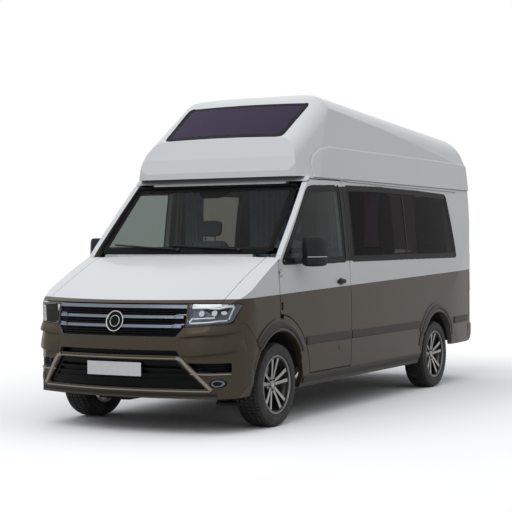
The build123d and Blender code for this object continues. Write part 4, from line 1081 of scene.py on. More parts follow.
# %% Window seals
SEAL_RUBBER = gloss_plastic("window_seal", colour(11, 11, 12), roughness=0.4)
CAB_GLASS_LINE = ((1.082, 1.372), (1.700, 2.028), (1.800, 2.046), (2.372, 2.070), (2.372, 1.374))
SIDE_GLASS_LINES = (
    (1, ((2.500, 1.376), (2.500, 2.074), (3.300, 2.087), (4.350, 2.081), (5.128, 2.064), (5.282, 1.386))),
    (-1, ((3.912, 1.380), (3.912, 2.085), (4.350, 2.081), (5.128, 2.064), (5.282, 1.386))),
    (-1, ((2.610, 1.376), (2.610, 2.076), (3.800, 2.084), (3.800, 1.380))),
)


def inset(corners, by):
    """The corners of a convex outline moved in by a distance from every edge."""
    count = len(corners)
    area = sum(
        corners[i - 1][0] * corners[i][1] - corners[i][0] * corners[i - 1][1] for i in range(count)
    )
    turn = 1 if area > 0 else -1
    lines = []
    for i in range(count):
        (ax, ay), (bx, by_) = corners[i - 1], corners[i]
        run = math.hypot(bx - ax, by_ - ay)
        nx, ny = -(by_ - ay) / run * turn, (bx - ax) / run * turn
        lines.append((nx, ny, nx * ax + ny * ay + by))
    moved = []
    for i in range(count):
        (a, b, c), (d, e, f) = lines[i], lines[(i + 1) % count]
        cross = a * e - b * d
        moved.append(((c * e - b * f) / cross, (a * f - c * d) / cross))
    return moved


def seal(name, line, find, body, width=0.024, proud=0.003, printed=0.046, step=0.04):
    """A rubber lip on a pane's edge and the black band printed round the pane."""
    ring = Shape()
    trim(ring, [find(a, b) for a, b in closed_path(line, 0.05, step)], width, proud, looped=True)
    band = closed_path(inset(line, printed / 2), 0.045, step)
    trim(ring, [find(a, b) for a, b in band], printed, 0.0007, looped=True, sunk=0.0002, flat=0.98)
    return ring.piece(name, [SEAL_RUBBER], body, slot="black_plastic", smooth=60)


for number, (side, line) in enumerate(SIDE_GLASS_LINES):
    seal("side_window_seal_%d" % number, line, lambda y, z, side=side: side_spot(side, back(y), z),
        "van_body")
for side_name, side in (("left", 1), ("right", -1)):
    on_door = lambda y, z, side=side: side_spot(side, back(y), z)
    seal("cab_window_seal_" + side_name, CAB_GLASS_LINE, on_door, "cab_door_" + side_name, width=0.036)
    line = ((side * 0.090, 1.390), (side * 0.090, 2.010), (side * 0.720, 1.995), (side * 0.762, 1.400))
    seal("rear_window_seal_" + side_name, line, rear_spot, "rear_door_" + side_name)
screen_line = ((-0.884, 1.462), (-0.840, 2.068), (0.840, 2.068), (0.884, 1.462))
seal("windscreen_seal", screen_line, front_spot, "van_body", width=0.030, printed=0.060)

# %% Black pillar covers between the panes
for side_name, side in (("left", 1), ("right", -1)):
    stretches = (("cab_door_" + side_name, 2.380, 2.4395, 1.376, 2.066),
        ("van_body", 2.4465, 2.496, 1.376, 2.070))
    for body, start, end, low, high in stretches:
        cover = Shape()
        rings = []
        for z in [low + (high - low) * k / 10 for k in range(11)]:
            near, out = side_spot(side, back(start), z)
            far, far_out = side_spot(side, back(end), z)
            rings.append([near - out * 0.002, near + out * 0.0025, far + far_out * 0.0025,
                far - far_out * 0.002])
        cover.loft(rings)
        cover.piece("pillar_cover_%s_%s" % (side_name, "door" if body != "van_body" else "body"),
            [BLACK_GLOSS], body, slot="black_plastic")
PANE_JOINT = 3.873
PANE_JOINT_WIDTH = 0.022
joint = Shape()
trim(joint, [side_spot(1, back(PANE_JOINT), 1.39 + 0.069 * k) for k in range(11)], PANE_JOINT_WIDTH, 0.0015)
joint.piece("pane_joint", [BLACK_GLOSS], "van_body", slot="black_plastic")

# %% Rain channel
# distance behind the bumper and height; it stays high over the cab door, to clear it
CHANNEL_LINE = ((1.86, 2.138), (2.46, 2.133), (2.60, 2.122), (5.46, 2.112))
for side_name, side in (("left", 1), ("right", -1)):
    channel = Shape()
    path = along(CHANNEL_LINE, 0.1)
    trim(channel, [side_spot(side, back(y), z) for y, z in path], 0.012, 0.009, flat=0.7)
    channel.piece("rain_channel_" + side_name, [PAINT], "van_body", slot="body_paint", smooth=60)

# %% [markdown]
# Handles and mirrors
#
# The doors hang on pins that need a notch in the panel edge. It is left open, because a cap on
# either side of it would touch the other when the door turns. A handle is a bowed grip that
# bridges a shallow cup. The mirror is two shells with a bright line between them, on a short
# arm, with a glass face that looks back.

# %% Handles
def handle(name, body, side, y, z, length=0.17):
    grip = Shape()
    rings = []
    for k in range(13):
        t = k / 12
        bow = math.sin(math.pi * t) ** 0.5 if 0 < t < 1 else 0
        point, out = side_spot(side, back(y + (t - 0.5) * length), z)
        centre = point + out * (0.006 + 0.022 * bow)
        tall = 0.009 + 0.010 * bow
        rings.append([
            centre + Vector((side * 0.006 * math.cos(a), 0, tall * math.sin(a)))
            for a in (2 * math.pi * n / 12 for n in range(12))
        ])
    grip.loft(rings)
    cup = []
    for reach, lift in ((1.0, 0.0008), (0.9, 0.003), (0.02, 0.0032)):
        ring = []
        for n in range(20):
            a = 2 * math.pi * n / 20
            point, out = side_spot(side, back(y + 0.060 * reach * math.cos(a)),
                z + 0.031 * reach * math.sin(a))
            ring.append(point + out * lift)
        cup.append(ring)
    grip.loft(cup, slot=1)
    point, out = side_spot(side, back(y + length * 0.62), z)
    rings = []
    for raise_by, radius in ((0.0, 0.012), (0.005, 0.011), (0.0055, 0.001)):
        rings.append([
            point + out * raise_by + Vector((0, radius * math.cos(a), radius * math.sin(a)))
            for a in (2 * math.pi * n / 16 for n in range(16))
        ])
    grip.loft(rings, slot=2)
    return grip.piece(name, [DARK_PLASTIC, BLACK_GLOSS, BRIGHT], body, slot="black_plastic")


handle("door_handle_left", "cab_door_left", 1, 2.235, 1.190)
handle("door_handle_right", "cab_door_right", -1, 2.235, 1.190)
handle("slide_handle", "van_body", -1, 2.72, 1.190, length=0.22)
for side_name, side in (("left", 1), ("right", -1)):
    caps = Shape()
    point, out = side_spot(side, back(2.20), 0.589)
    rings = []
    for lift, radius in ((0.0, 0.030), (0.003, 0.029), (0.0035, 0.001)):
        rings.append([
            point + out * lift + Vector((0, radius * math.cos(a), radius * math.sin(a)))
            for a in (2 * math.pi * n / 24 for n in range(24))
        ])
    caps.loft(rings)
    caps.piece("round_cap_" + side_name, [PAINT], "cab_door_" + side_name, slot="body_paint")
print("handles ready")

# %% Door mirrors
MIRROR_OUTLINE = (
    (1.052, 1.335), (1.085, 1.312), (1.120, 1.302), (1.160, 1.335), (1.192, 1.388), (1.206, 1.440),
    (1.2125, 1.480), (1.2125, 1.512), (1.195, 1.514), (1.130, 1.478), (1.062, 1.440), (1.046, 1.400),
)
MIRROR_LEVELS = (
    (1.340, 0.42), (1.343, 0.70), (1.350, 0.88), (1.366, 0.97), (1.392, 1.0), (1.4185, 0.995),
)
MIRROR_UPPER = (
    (1.4275, 0.995), (1.450, 1.0), (1.520, 0.985), (1.562, 0.955), (1.584, 0.88), (1.594, 0.76),
    (1.598, 0.50),
)
MIRROR_GLASS = metal("mirror_glass", colour(205, 210, 215), roughness=0.05)


def mirror_rings(side, levels):
    middle = Vector((1.13, 1.41))
    rings = []
    for z, size in levels:
        ring = []
        for x, y in MIRROR_OUTLINE:
            point = middle + (Vector((x, y)) - middle) * size
            ring.append((side * point.x, back(point.y), z))
        rings.append(ring)
    return rings


for side_name, side in (("left", 1), ("right", -1)):
    head = Shape()
    head.loft(mirror_rings(side, MIRROR_LEVELS))
    head.loft(mirror_rings(side, MIRROR_UPPER))
    head.loft(mirror_rings(side, ((1.4185, 0.955), (1.4275, 0.955))), slot=1)
    for low, high in ((1.440, 1.572), (1.358, 1.408)):
        corners = ((1.066, 1.449), (1.186, 1.5165))
        ring = [
            (side * corners[i][0], back(corners[i][1] + 0.0045), z)
            for i, z in ((0, low), (1, low), (1, high), (0, high))
        ]
        deep = [(x, y - 0.012, z) for x, y, z in ring]
        head.loft([deep, ring], slot=2)
    arm = []
    for x, y, z, tall, wide in ((0.975, 1.330, 1.384, 0.042, 0.050), (1.02, 1.342, 1.388, 0.030, 0.036),
        (1.085, 1.372, 1.398, 0.026, 0.030)):
        arm.append([
            (side * x, back(y + wide / 2 * math.cos(a)), z + tall / 2 * math.sin(a))
            for a in (2 * math.pi * n / 12 for n in range(12))
        ])
    head.loft(arm)
    head.piece(
        "mirror_head_" + side_name, [DARK_PLASTIC, BRIGHT, MIRROR_GLASS], "cab_door_" + side_name,
        node="mirror_" + side_name, slot="black_plastic", smooth=50, bevel=0.003,
    )
print("mirrors ready")

# %% Wheel-arch bands
ARCH_GREY = gloss_plastic("arch_band_paint", colour(66, 64, 64), roughness=0.35)
for side_name, side in (("left", 1), ("right", -1)):
    bands = Shape()
    for place, low, high in ((1.0, 42, 148), (4.64, 14, 158)):
        arc = []
        for k in range(41):
            angle = math.radians(low + (high - low) * k / 40)
            spot = side_spot(side, back(place - 0.508 * math.cos(angle)), 0.353 + 0.508 * math.sin(angle))
            arc.append(spot)
        trim(bands, arc, 0.062, 0.004, flat=0.85)
    bands.piece("arch_bands_" + side_name, [ARCH_GREY], "van_body", slot="body_paint", smooth=60)
# %% [markdown]
# Seats, bench and bed
#
# Foam under cloth bulges between its seams and its edges pull in. Each cushion starts as a
# slightly small closed form, is remeshed evenly, then blown up a little as cloth under
# pressure, with a limit on how far any point may move. Piping is laid on the finished surface.

# %% Cushions blown up as cloth
PIPING = grained_plastic("piping_cloth", colour(44, 46, 54), grain=600, roughness=0.8)


def pad(shape, outline, low, high, shrink=0.012, steps=9):
    """A closed form from a (y distance, z) outline run across x, drawn in towards its ends."""
    middle = (low + high) / 2
    half = (high - low) / 2 - shrink
    centre_y = sum(y for y, _ in outline) / len(outline)
    centre_z = sum(z for _, z in outline) / len(outline)
    path = closed_path(outline, 0.03, 0.05)
    rings = []
    for k in range(2 * steps + 1):
        t = math.sin(math.pi / 2 * (k / steps - 1))
        size = max(0.35, (1 - abs(t) ** 6) ** (1 / 4))
        ring = []
        for y, z in path:
            out_y, out_z = y - centre_y, z - centre_z
            reach = math.hypot(out_y, out_z)
            scale = size * (reach - shrink) / reach
            ring.append((middle + half * t, back(centre_y + out_y * scale), centre_z + out_z * scale))
        rings.append(ring)
    return shape.loft(rings)


def blown_up(name, shape, material, voxel, limit, node=None, slot="seat_fabric", pressure=4):
    thing = shape.piece(name, [material], "van_body", node=node, slot=slot, smooth=80)
    remesh = thing.modifiers.new("remesh", "REMESH")
    remesh.mode = "VOXEL"
    remesh.voxel_size = voxel
    bpy.context.view_layer.objects.active = thing
    bpy.ops.object.modifier_apply(modifier="remesh")
    before = [vertex.co.copy() for vertex in thing.data.vertices]
    cloth = thing.modifiers.new("cloth", "CLOTH")
    cloth.settings.use_pressure = True
    cloth.settings.uniform_pressure_force = pressure
    cloth.settings.effector_weights.gravity = 0
    cloth.settings.quality = 4
    cloth.settings.mass = 0.4
    cloth.point_cache.frame_end = 20
    for frame_number in range(1, 21):
        bpy.context.scene.frame_set(frame_number)
    bpy.ops.object.modifier_apply(modifier="cloth")
    bpy.context.scene.frame_set(1)
    for vertex, start in zip(thing.data.vertices, before):
        move = vertex.co - start
        if move.length > limit:
            vertex.co = start + move * (limit / move.length)
    soften = thing.modifiers.new("soften", "SMOOTH")
    soften.iterations = 2
    bpy.ops.object.modifier_apply(modifier="soften")
    thing.data.shade_smooth()
    if thing.data.materials.find(material.name) < 0:
        thing.data.materials.append(material)
    return thing


def piping(name, thing, lines, thick=0.005):
    """Rounded piping along lines dropped onto a finished cushion from a given direction."""
    tree = BVHTree.FromObject(thing, bpy.context.evaluated_depsgraph_get())
    cord = Shape()
    for corners, direction in lines:
        spots = []
        for point in along(corners, 0.02):
            hit, normal, _, _ = tree.ray_cast(Vector(point) - Vector(direction) * 0.3, Vector(direction), 0.6)
            if hit:
                spots.append((hit, normal))
        if len(spots) > 2:
            trim(cord, spots, thick * 2, thick * 0.7, sunk=0.003, flat=0.5)
    return cord.piece(name, [PIPING], "van_body", slot="seat_fabric", smooth=60)


def seat_outlines(start, base):
    """The side outlines of a seat's cushion and back, a little inside the model's."""
    cushion = ((0.004, 0.012), (0.004, 0.108), (0.060, 0.142), (0.300, 0.128), (0.436, 0.112), (0.450, 0.012))
    rest = ((0.440, 0.100), (0.470, 0.250), (0.500, 0.450), (0.560, 0.692), (0.655, 0.692), (0.625, 0.450),
        (0.560, 0.075))
    return [[(start + y, base + z) for y, z in outline] for outline in (cushion, rest)]


def headrest_outline(start, base):
    return [(start + y, base + z) for y, z in ((0.562, 0.712), (0.584, 0.872), (0.676, 0.864),
        (0.650, 0.705))]


for side_name, side in (("left", 1), ("right", -1)):
    seat = Shape()
    middle = side * 0.430
    cushion, rest = seat_outlines(1.700, 0.900)
    pad(seat, cushion, middle - 0.250, middle + 0.250)
    pad(seat, rest, middle - 0.245, middle + 0.245)
    pad(seat, headrest_outline(1.700, 0.900), middle - 0.125, middle + 0.125, shrink=0.006)
    padding = blown_up("seat_pads_" + side_name, seat, SEAT_CLOTH, 0.012, 0.012,
        node="front_seats" if side > 0 else None)
    lines = []
    for x in (middle - 0.165, middle + 0.165):
        lines.append((((x, back(1.76), 1.05), (x, back(2.12), 1.02)), (0, 0, -1)))
        lines.append((((x, back(2.17), 1.10), (x, back(2.25), 1.55)), (0, 1, 0)))
    for z in (1.20, 1.34, 1.48):
        y = 2.14 + (z - 1.0) * 0.2
        lines.append((((middle - 0.165, back(y), z), (middle + 0.165, back(y), z)), (0, 1, 0)))
    piping("seat_piping_" + side_name, padding, lines)

bench = Shape()
cushion, rest = seat_outlines(2.960, 0.900)
for low, high in ((0.030, 0.468), (0.472, 0.910)):
    pad(bench, cushion, low, high)
    pad(bench, rest, low, high)
for middle in (0.26, 0.68):
    pad(bench, headrest_outline(2.960, 0.900), middle - 0.120, middle + 0.120, shrink=0.006)
blown_up("bench_pads", bench, SEAT_CLOTH, 0.013, 0.012, node="dinette_bench")

bed = Shape()
for start, end in ((4.250, 4.780), (4.790, 5.320), (5.330, 5.855)):
    outline = ((start, 1.156), (start, 1.282), (end, 1.282), (end, 1.156))
    pad(bed, outline, -0.900, 0.900, steps=14)
blown_up("bed_pads", bed, MATTRESS, 0.016, 0.014, node="rear_bed", slot="mattress")

# %% What carries the cushions
bases = Shape()
for side in (1, -1):
    x = side * 0.430
    bases.box((x - 0.200, back(1.760), 0.560), (x + 0.200, back(2.180), 0.850))
    bases.box((x - 0.235, back(1.720), 0.850), (x + 0.235, back(2.240), 0.902))
    for reach in (-0.055, 0.055):
        bases.box((x + reach - 0.006, back(2.300), 1.575), (x + reach + 0.006, back(2.312), 1.640), slot=1)
bases.box((0.032, back(2.962), 0.560), (0.908, back(3.440), 0.902), slot=2)
bases.box((0.130, back(2.9585), 0.620), (0.810, back(2.963), 0.850), slot=3)
bases.piece(
    "seat_bases", [GREY_TRIM, STEEL, CABINET, PALE_TRIM], "van_body", slot="grey_plastic", bevel=0.004,
)
frame_parts = Shape()
frame_parts.box((-0.915, back(4.245), 1.131), (0.915, back(5.860), 1.150))
for side in (1, -1):
    frame_parts.box((side * 0.62, back(4.245), 0.562), (side * 0.60, back(4.30), 1.131))
    frame_parts.box((side * 0.62, back(5.70), 0.562), (side * 0.60, back(5.80), 1.131))
    frame_parts.box((side * 0.62, back(4.30), 1.03), (side * 0.60, back(5.70), 1.131))
frame_parts.piece("bed_frame", [CABINET], "van_body", slot="furniture", bevel=0.003)
print("cushions ready")

# %% [markdown]
# Curtains
#
# A curtain is a flat cloth gathered onto a rail, so it hangs in folds that are even at the top
# and wander a little lower down. Each is a thin sheet whose folds come from a few sine waves.
# The cloth is cut half as wide again as its rail, a usual fullness, and the depth of the folds
# is solved at each level so that the row is as long as the cloth is wide.

# %% Gathered curtains
CURTAIN_LILAC = grained_plastic("curtain_lilac", colour(226, 190, 255), grain=500, roughness=0.9)
CURTAIN_BROWN = grained_plastic("curtain_brown", colour(140, 118, 96), grain=500, roughness=0.9)
CURTAIN_GREY = grained_plastic("curtain_grey", colour(160, 164, 180), grain=500, roughness=0.9)


FULLNESS = 1.5


def curtain(name, start, end, top, bottom, folds, material, waist=1.0):
    """A gathered sheet hung from start to end, which are (x, y) on plan."""
    a, b = Vector((start[0], back(start[1]), 0)), Vector((end[0], back(end[1]), 0))
    wide = (b - a).length
    flat_width, flat_length = round(wide * FULLNESS, 2), round(top - bottom, 2)
    run = (b - a).normalized()
    out = Vector((run.y, -run.x, 0))
    across, down = folds * 16, 22

    def hung_row(drop, depth):
        """One level of the cloth, with folds of a given depth."""
        tight = 1 - (1 - waist) * math.sin(math.pi * min(1, drop * 0.9))
        height = Vector((0, 0, top - (top - bottom) * drop))
        row = []
        for j in range(across + 1):
            t = j / across
            fold = math.sin(2 * math.pi * folds * t + 0.5 * math.sin(3 * drop + 5 * t))
            sway = 0.35 * math.sin(2 * math.pi * folds * 0.37 * t + 2.2 * drop)
            row.append(
                a + run * (wide * (0.5 + (t - 0.5) * tight)) + out * (depth * (fold + sway) / 1.35) + height)
        return row

    def length_of(row):
        return sum((q - p).length for p, q in zip(row, row[1:]))

    rows, deepest = [], 0
    for i in range(down + 1):
        shallow, deep = 0.0, 0.08
        for _ in range(24):
            depth = (shallow + deep) / 2
            if length_of(hung_row(i / down, depth)) < flat_width:
                shallow = depth
            else:
                deep = depth
        deepest = max(deepest, depth)
        rows.append(hung_row(i / down, depth))
    thing = Shape().loft(rows, capped=False, round_ring=False).piece(
        name, [material], "van_body", slot="seat_fabric", smooth=180)
    hem = thing.modifiers.new("cloth_thickness", "SOLIDIFY")
    hem.thickness = 0.0012
    lengths = [length_of(row) for row in rows]
    print(name, "cut", flat_width, "x", flat_length, "rows", round(min(lengths), 4), "to",
        round(max(lengths), 4),
          "deepest fold", round(deepest, 4))
    return thing


rails = Shape()
for (x0, y0), (x1, y1), z in (
    ((0.836, 2.66), (0.836, 3.56), 2.072), ((0.836, 4.20), (0.836, 5.02), 2.062),
    ((-0.836, 4.20), (-0.836, 5.02), 2.062), ((-0.10, 2.425), (0.80, 2.425), 2.060),
    ((-0.80, 2.425), (-0.55, 2.425), 2.060),
):
    rails.box((min(x0, x1) - 0.005, back(y0) - 0.005, z - 0.006),
        (max(x0, x1) + 0.005, back(y1) + 0.005, z + 0.006))
rails.piece("curtain_rails", [PALE_TRIM], "van_body", slot="grey_plastic", bevel=0.002)
curtain("curtain_side_0", (0.836, 3.10), (0.836, 3.50), 2.066, 1.50, 7, CURTAIN_LILAC,
    waist=0.8)
curtain("curtain_side_1", (0.836, 4.22), (0.836, 4.46), 2.056, 1.50, 5, CURTAIN_LILAC,
    waist=0.8)
curtain("curtain_side_2", (-0.836, 4.22), (-0.836, 4.50), 2.056, 1.50, 5, CURTAIN_LILAC,
    waist=0.8)
curtain("curtain_side_3", (-0.836, 4.52), (-0.836, 5.00), 2.056, 1.50, 9, CURTAIN_BROWN)
curtain("curtain_cab_0", (-0.05, 2.425), (0.42, 2.425), 2.054, 1.10, 8, CURTAIN_GREY)
curtain("curtain_cab_1", (-0.78, 2.425), (-0.58, 2.425), 2.054, 1.10, 5, CURTAIN_GREY)

# %% [markdown]
# Trim on the pillars
#
# Behind each front door two upright pale strips cover the pillar on the cabin side. A box would
# do for a straight pillar, but this one leans inwards as it rises, so each strip is lofted
# through four short sections that follow the lean.

# %% Trim on the pillars behind the front doors
pillar = Shape()
for side in (1, -1):
    for start, end in ((2.352, 2.384), (2.412, 2.440)):
        rings = []
        for z, x in ((0.70, 0.866), (1.20, 0.874), (1.60, 0.856), (2.05, 0.822)):
            rings.append([
                (side * x, back(start), z), (side * (x - 0.010), back(start + 0.006), z),
                (side * (x - 0.010), back(end - 0.006), z), (side * x, back(end), z),
            ])
        pillar.loft(rings)
pillar.piece("pillar_trim", [PALE_TRIM], "van_body", slot="grey_plastic", smooth=40)

# %% [markdown]
# Pleated blinds
#
# A pleated blind is one cloth folded back and forth, so its pleats are small and even and it
# lies flat behind the glass. Rows of points stand 4 millimetres in front of and behind the
# middle in turn, and the folds between them are left crisp instead of smoothed.

# %% Pleated blinds in the rear doors
for side_name, side in (("left", 1), ("right", -1)):
    blind = Shape()
    rows = []
    for k in range(57):
        z = 1.438 + 0.524 * k / 56
        edge = 0.716 if z < 1.90 else 0.690
        row = []
        for x in (0.136, 0.330, 0.520, edge):
            skin, out = rear_spot(side * x, z)
            row.append((side * x, skin.y - 0.024 + (0.004 if k % 2 else -0.004), z))
        rows.append(row)
    blind.loft(rows, capped=False, round_ring=False)
    thing = blind.piece("blind_" + side_name, [CURTAIN_BROWN], "rear_door_" + side_name, slot="seat_fabric",
        smooth=20)
    thing.modifiers.new("cloth_thickness", "SOLIDIFY").thickness = 0.0012

# %% [markdown]
# Dashboard, steering wheel and cupboard fronts
#
# The dashboard is one crowned moulding with a hooded binnacle, a centre screen and vents. The
# wheel has a round rim and three spokes. Cupboard fronts are thin boards with a gap around
# each, because that gap is what makes furniture read as furniture.

# %% Dashboard
BOARD = ((1.085, 0.86), (1.085, 1.336), (1.150, 1.356), (1.250, 1.3705), (1.340, 1.362), (1.418, 1.326),
    (1.470, 1.275),
         (1.497, 1.236), (1.488, 1.150), (1.470, 1.075), (1.400, 0.960), (1.300, 0.86))
SCREEN_BLACK = gloss_plastic("screen_black", colour(8, 9, 11), roughness=0.15)
dash = Shape()
rings = []
for x in (-0.872, -0.868, -0.70, -0.40, 0.0, 0.40, 0.70, 0.868, 0.872):
    size = 0.94 if abs(x) > 0.87 else 1.0
    rings.append([(x, back(1.29 + (y - 1.29) * size), 1.10 + (z - 1.10) * size) for y, z in BOARD])
dash.loft(rings)
dash.box((-0.130, back(1.478), 1.090), (0.130, back(1.4985), 1.235), slot=1)
for x in (-0.78, -0.20, 0.20, 0.78):
    for row in range(4):
        z = 1.180 + row * 0.013
        dash.box((x - 0.055, back(1.482), z), (x + 0.055, back(1.4955), z + 0.007), slot=1)
hood_rings = []
for y, size in ((1.34, 0.6), (1.38, 0.95), (1.44, 1.0), (1.47, 0.97)):
    ring = []
    for n in range(17):
        a = math.pi * n / 16
        ring.append((0.43 + 0.175 * size * math.cos(a), back(y), 1.270 + 0.098 * size * math.sin(a)))
    hood_rings.append(ring)
dash.loft(hood_rings)
dash.box((0.290, back(1.4705), 1.278), (0.570, back(1.4725), 1.348), slot=1)
dash.piece("dashboard_skin", [GREY_TRIM, SCREEN_BLACK], "van_body", node="dashboard", slot="grey_plastic",
    smooth=45, bevel=0.003)

# %% Steering wheel
RAKE = math.radians(62)
WHEEL_MIDDLE = Vector((0.430, back(1.620), 1.280))
axis = Vector((0, math.sin(RAKE), math.cos(RAKE)))
sideways = Vector((1, 0, 0))
upwards = axis.cross(sideways).normalized()
rim = Shape()
rings = []
for n in range(64):
    a = 2 * math.pi * n / 64
    outward = sideways * math.cos(a) + upwards * math.sin(a)
    rings.append([
        WHEEL_MIDDLE + outward * (0.190 + 0.0135 * math.cos(b)) + axis * 0.0150 * math.sin(b)
        for b in (2 * math.pi * m / 12 for m in range(12))
    ])
rim.loft(rings, looped=True)
for a in (-math.pi / 2, math.pi / 6, 5 * math.pi / 6):
    outward = sideways * math.cos(a) + upwards * math.sin(a)
    beside = axis.cross(outward)
    rings = []
    for r, wide, thick in ((0.045, 0.017, 0.011), (0.090, 0.0155, 0.009), (0.150, 0.014, 0.007),
        (0.184, 0.0165, 0.008)):
        rings.append([
            WHEEL_MIDDLE + outward * r + beside * wide * math.cos(b) + axis * thick * math.sin(b)
            for b in (2 * math.pi * m / 12 for m in range(12))
        ])
    rim.loft(rings)
rings = []
for lift, radius in ((-0.0135, 0.060), (0.004, 0.069), (0.011, 0.062), (0.0138, 0.035), (0.0139, 0.002)):
    rings.append([
        WHEEL_MIDDLE + axis * lift + (sideways * math.cos(b) + upwards * math.sin(b)) * radius
        for b in (2 * math.pi * m / 32 for m in range(32))
    ])
rim.loft(rings)
rings = []
for lift in (0.0, -0.209):
    rings.append([
        WHEEL_MIDDLE + axis * lift + (sideways * math.cos(b) + upwards * math.sin(b)) * 0.0198
        for b in (2 * math.pi * m / 24 for m in range(24))
    ])
rim.loft(rings)
rim.piece("steering_rim", [DARK_PLASTIC], "steering_wheel", node="steering_wheel", slot="black_plastic",
    smooth=50)

# %% [markdown]
# Door linings
#
# Seen from inside, a door is a moulded card with an armrest and a pocket; bare metal would look
# unfinished. Each lining follows the door's own inner face, found by looking outwards from the
# cabin, and ends short of the door's edges so that it moves freely.

# %% Linings on the hinged doors
def lining(shape, find, corners, lift=0.006, rows=8, columns=8, slot=0):
    """A thin panel on an inner face, between four (a, z) corners: low near, low far, high near, high far."""
    (a0, z0), (a1, z1), (a2, z2), (a3, z3) = corners
    front = []
    for i in range(rows + 1):
        t = i / rows
        face_row = []
        for j in range(columns + 1):
            s = j / columns
            a = (a0 + (a1 - a0) * s) * (1 - t) + (a2 + (a3 - a2) * s) * t
            z = (z0 + (z1 - z0) * s) * (1 - t) + (z2 + (z3 - z2) * s) * t
            point, inward = find(a, z)
            edge = i in (0, rows) or j in (0, columns)
            face_row.append(point + inward * (0.0012 if edge else lift))
        front.append(face_row)
    shape.loft(front, slot, capped=False, round_ring=False)
    return shape


def inner_side(side):
    tree = tree_of(("cab_door_" + ("left" if side > 0 else "right"),))

    def find(y, z):
        hit, _, _, _ = tree.ray_cast(Vector((side * 0.2, back(y), z)), Vector((side, 0, 0)))
        return (hit or Vector((side * 0.94, back(y), z))), Vector((-side, 0, 0))
    return find


def inner_rear(side):
    tree = tree_of(("rear_door_" + ("left" if side > 0 else "right"),))

    def find(x, z):
        hit, _, _, _ = tree.ray_cast(Vector((side * x, back(4.0), z)), Vector((0, 1, 0)))
        return (hit or Vector((side * x, back(5.89), z))), Vector((0, -1, 0))
    return find


for side_name, side in (("left", 1), ("right", -1)):
    card = Shape()
    find = inner_side(side)
    lining(card, find, ((1.62, 0.66), (2.38, 0.66), (1.30, 1.30), (2.38, 1.30)), lift=0.010)
    rings = []
    for y, size in ((1.70, 0.3), (1.74, 0.9), (1.95, 1.0), (2.20, 1.0), (2.26, 0.3)):
        middle = find(y, 1.02)[0]
        rings.append([
            middle + Vector((-side * (0.012 + 0.030 * size * math.cos(a)), 0, 0.026 * size * math.sin(a)))
            for a in (2 * math.pi * n / 12 for n in range(12))
        ])
    card.loft(rings)
    card.piece("door_card_" + side_name, [GREY_TRIM], "cab_door_" + side_name, slot="grey_plastic", smooth=40)
    card = Shape()
    lining(card, inner_rear(side), ((0.10, 0.74), (0.70, 0.74), (0.10, 1.32), (0.70, 1.32)), lift=0.008)
    card.piece("rear_card_" + side_name, [GREY_TRIM], "rear_door_" + side_name, slot="grey_plastic",
        smooth=40)

# %% Cupboard fronts
fronts = Shape()
for row in range(3):
    for column in range(2):
        low_y = 3.350 + column * 0.390
        fronts.box((-0.4400, back(low_y), 0.600 + row * 0.275),
            (-0.4365, back(low_y + 0.380), 0.865 + row * 0.275))
        fronts.box((-0.4365, back(low_y + 0.130), 0.838 + row * 0.275),
            (-0.4335, back(low_y + 0.250), 0.850 + row * 0.275), slot=1)
fronts.box((0.0565, back(3.720), 0.640), (0.0600, back(4.070), 2.300))
fronts.box((0.0535, back(3.760), 1.380), (0.0565, back(3.780), 1.520), slot=1)
fronts.box((-0.900, back(3.400), 1.4695), (-0.480, back(3.760), 1.4725), slot=1)
fronts.box((-0.860, back(3.830), 1.4695), (-0.520, back(4.090), 1.4725), slot=2)
fronts.piece("cupboard_fronts", [PALE_TRIM, STEEL, SCREEN_BLACK], "van_body", slot="furniture", bevel=0.0012)
print("cabin ready")
# %% [markdown]
# Wipers, roof details and the tail
#
# Small outside pieces tell a viewer what the large forms are. Wipers rest just above the cowl.
# The roof window sits in a dark frame. The tail has handles, hinge covers, and lamps whose red
# glass is split into a brake part, a pale reversing part and an amber turn part.

# %% Wipers
def tube(shape, points, radius, slot=0, sides=10):
    """A round rod through points."""
    rings = []
    for i, point in enumerate(points):
        ahead = (points[min(i + 1, len(points) - 1)] - points[max(i - 1, 0)]).normalized()
        across = ahead.cross(Vector((0, 0, 1)) if abs(ahead.z) < 0.9 else Vector((1, 0, 0))).normalized()
        over = across.cross(ahead)
        rings.append([
            point + (across * math.cos(a) + over * math.sin(a)) * radius
            for a in (2 * math.pi * n / sides for n in range(sides))
        ])
    return shape.loft(rings, slot)


wipers = Shape()
for pivot_x, tip_x, tip_z in ((0.560, -0.100, 1.520), (-0.060, -0.720, 1.530)):
    blade = []
    arm = []
    for k in range(13):
        t = k / 12
        x = pivot_x - 0.10 + (tip_x - pivot_x + 0.06) * t
        point, out = front_spot(x, 1.492 + (tip_z - 1.492) * t)
        blade.append((point, out))
    trim(wipers, blade, 0.014, 0.012, sunk=-0.003, flat=0.5)
    for t in (0.0, 0.15, 0.5):
        x = pivot_x + (blade[6][0].x - pivot_x) * t * 2
        point, out = front_spot(x, 1.482 + 0.028 * t)
        arm.append(point + out * (0.012 + 0.010 * min(1, t * 4)))
    tube(wipers, arm, 0.0065)
    pivot, out = front_spot(pivot_x, 1.480)
    tube(wipers, [pivot + out * 0.001, pivot + out * 0.020], 0.016)
wipers.piece("wipers", [DARK_PLASTIC], "van_body", slot="black_plastic", smooth=50)

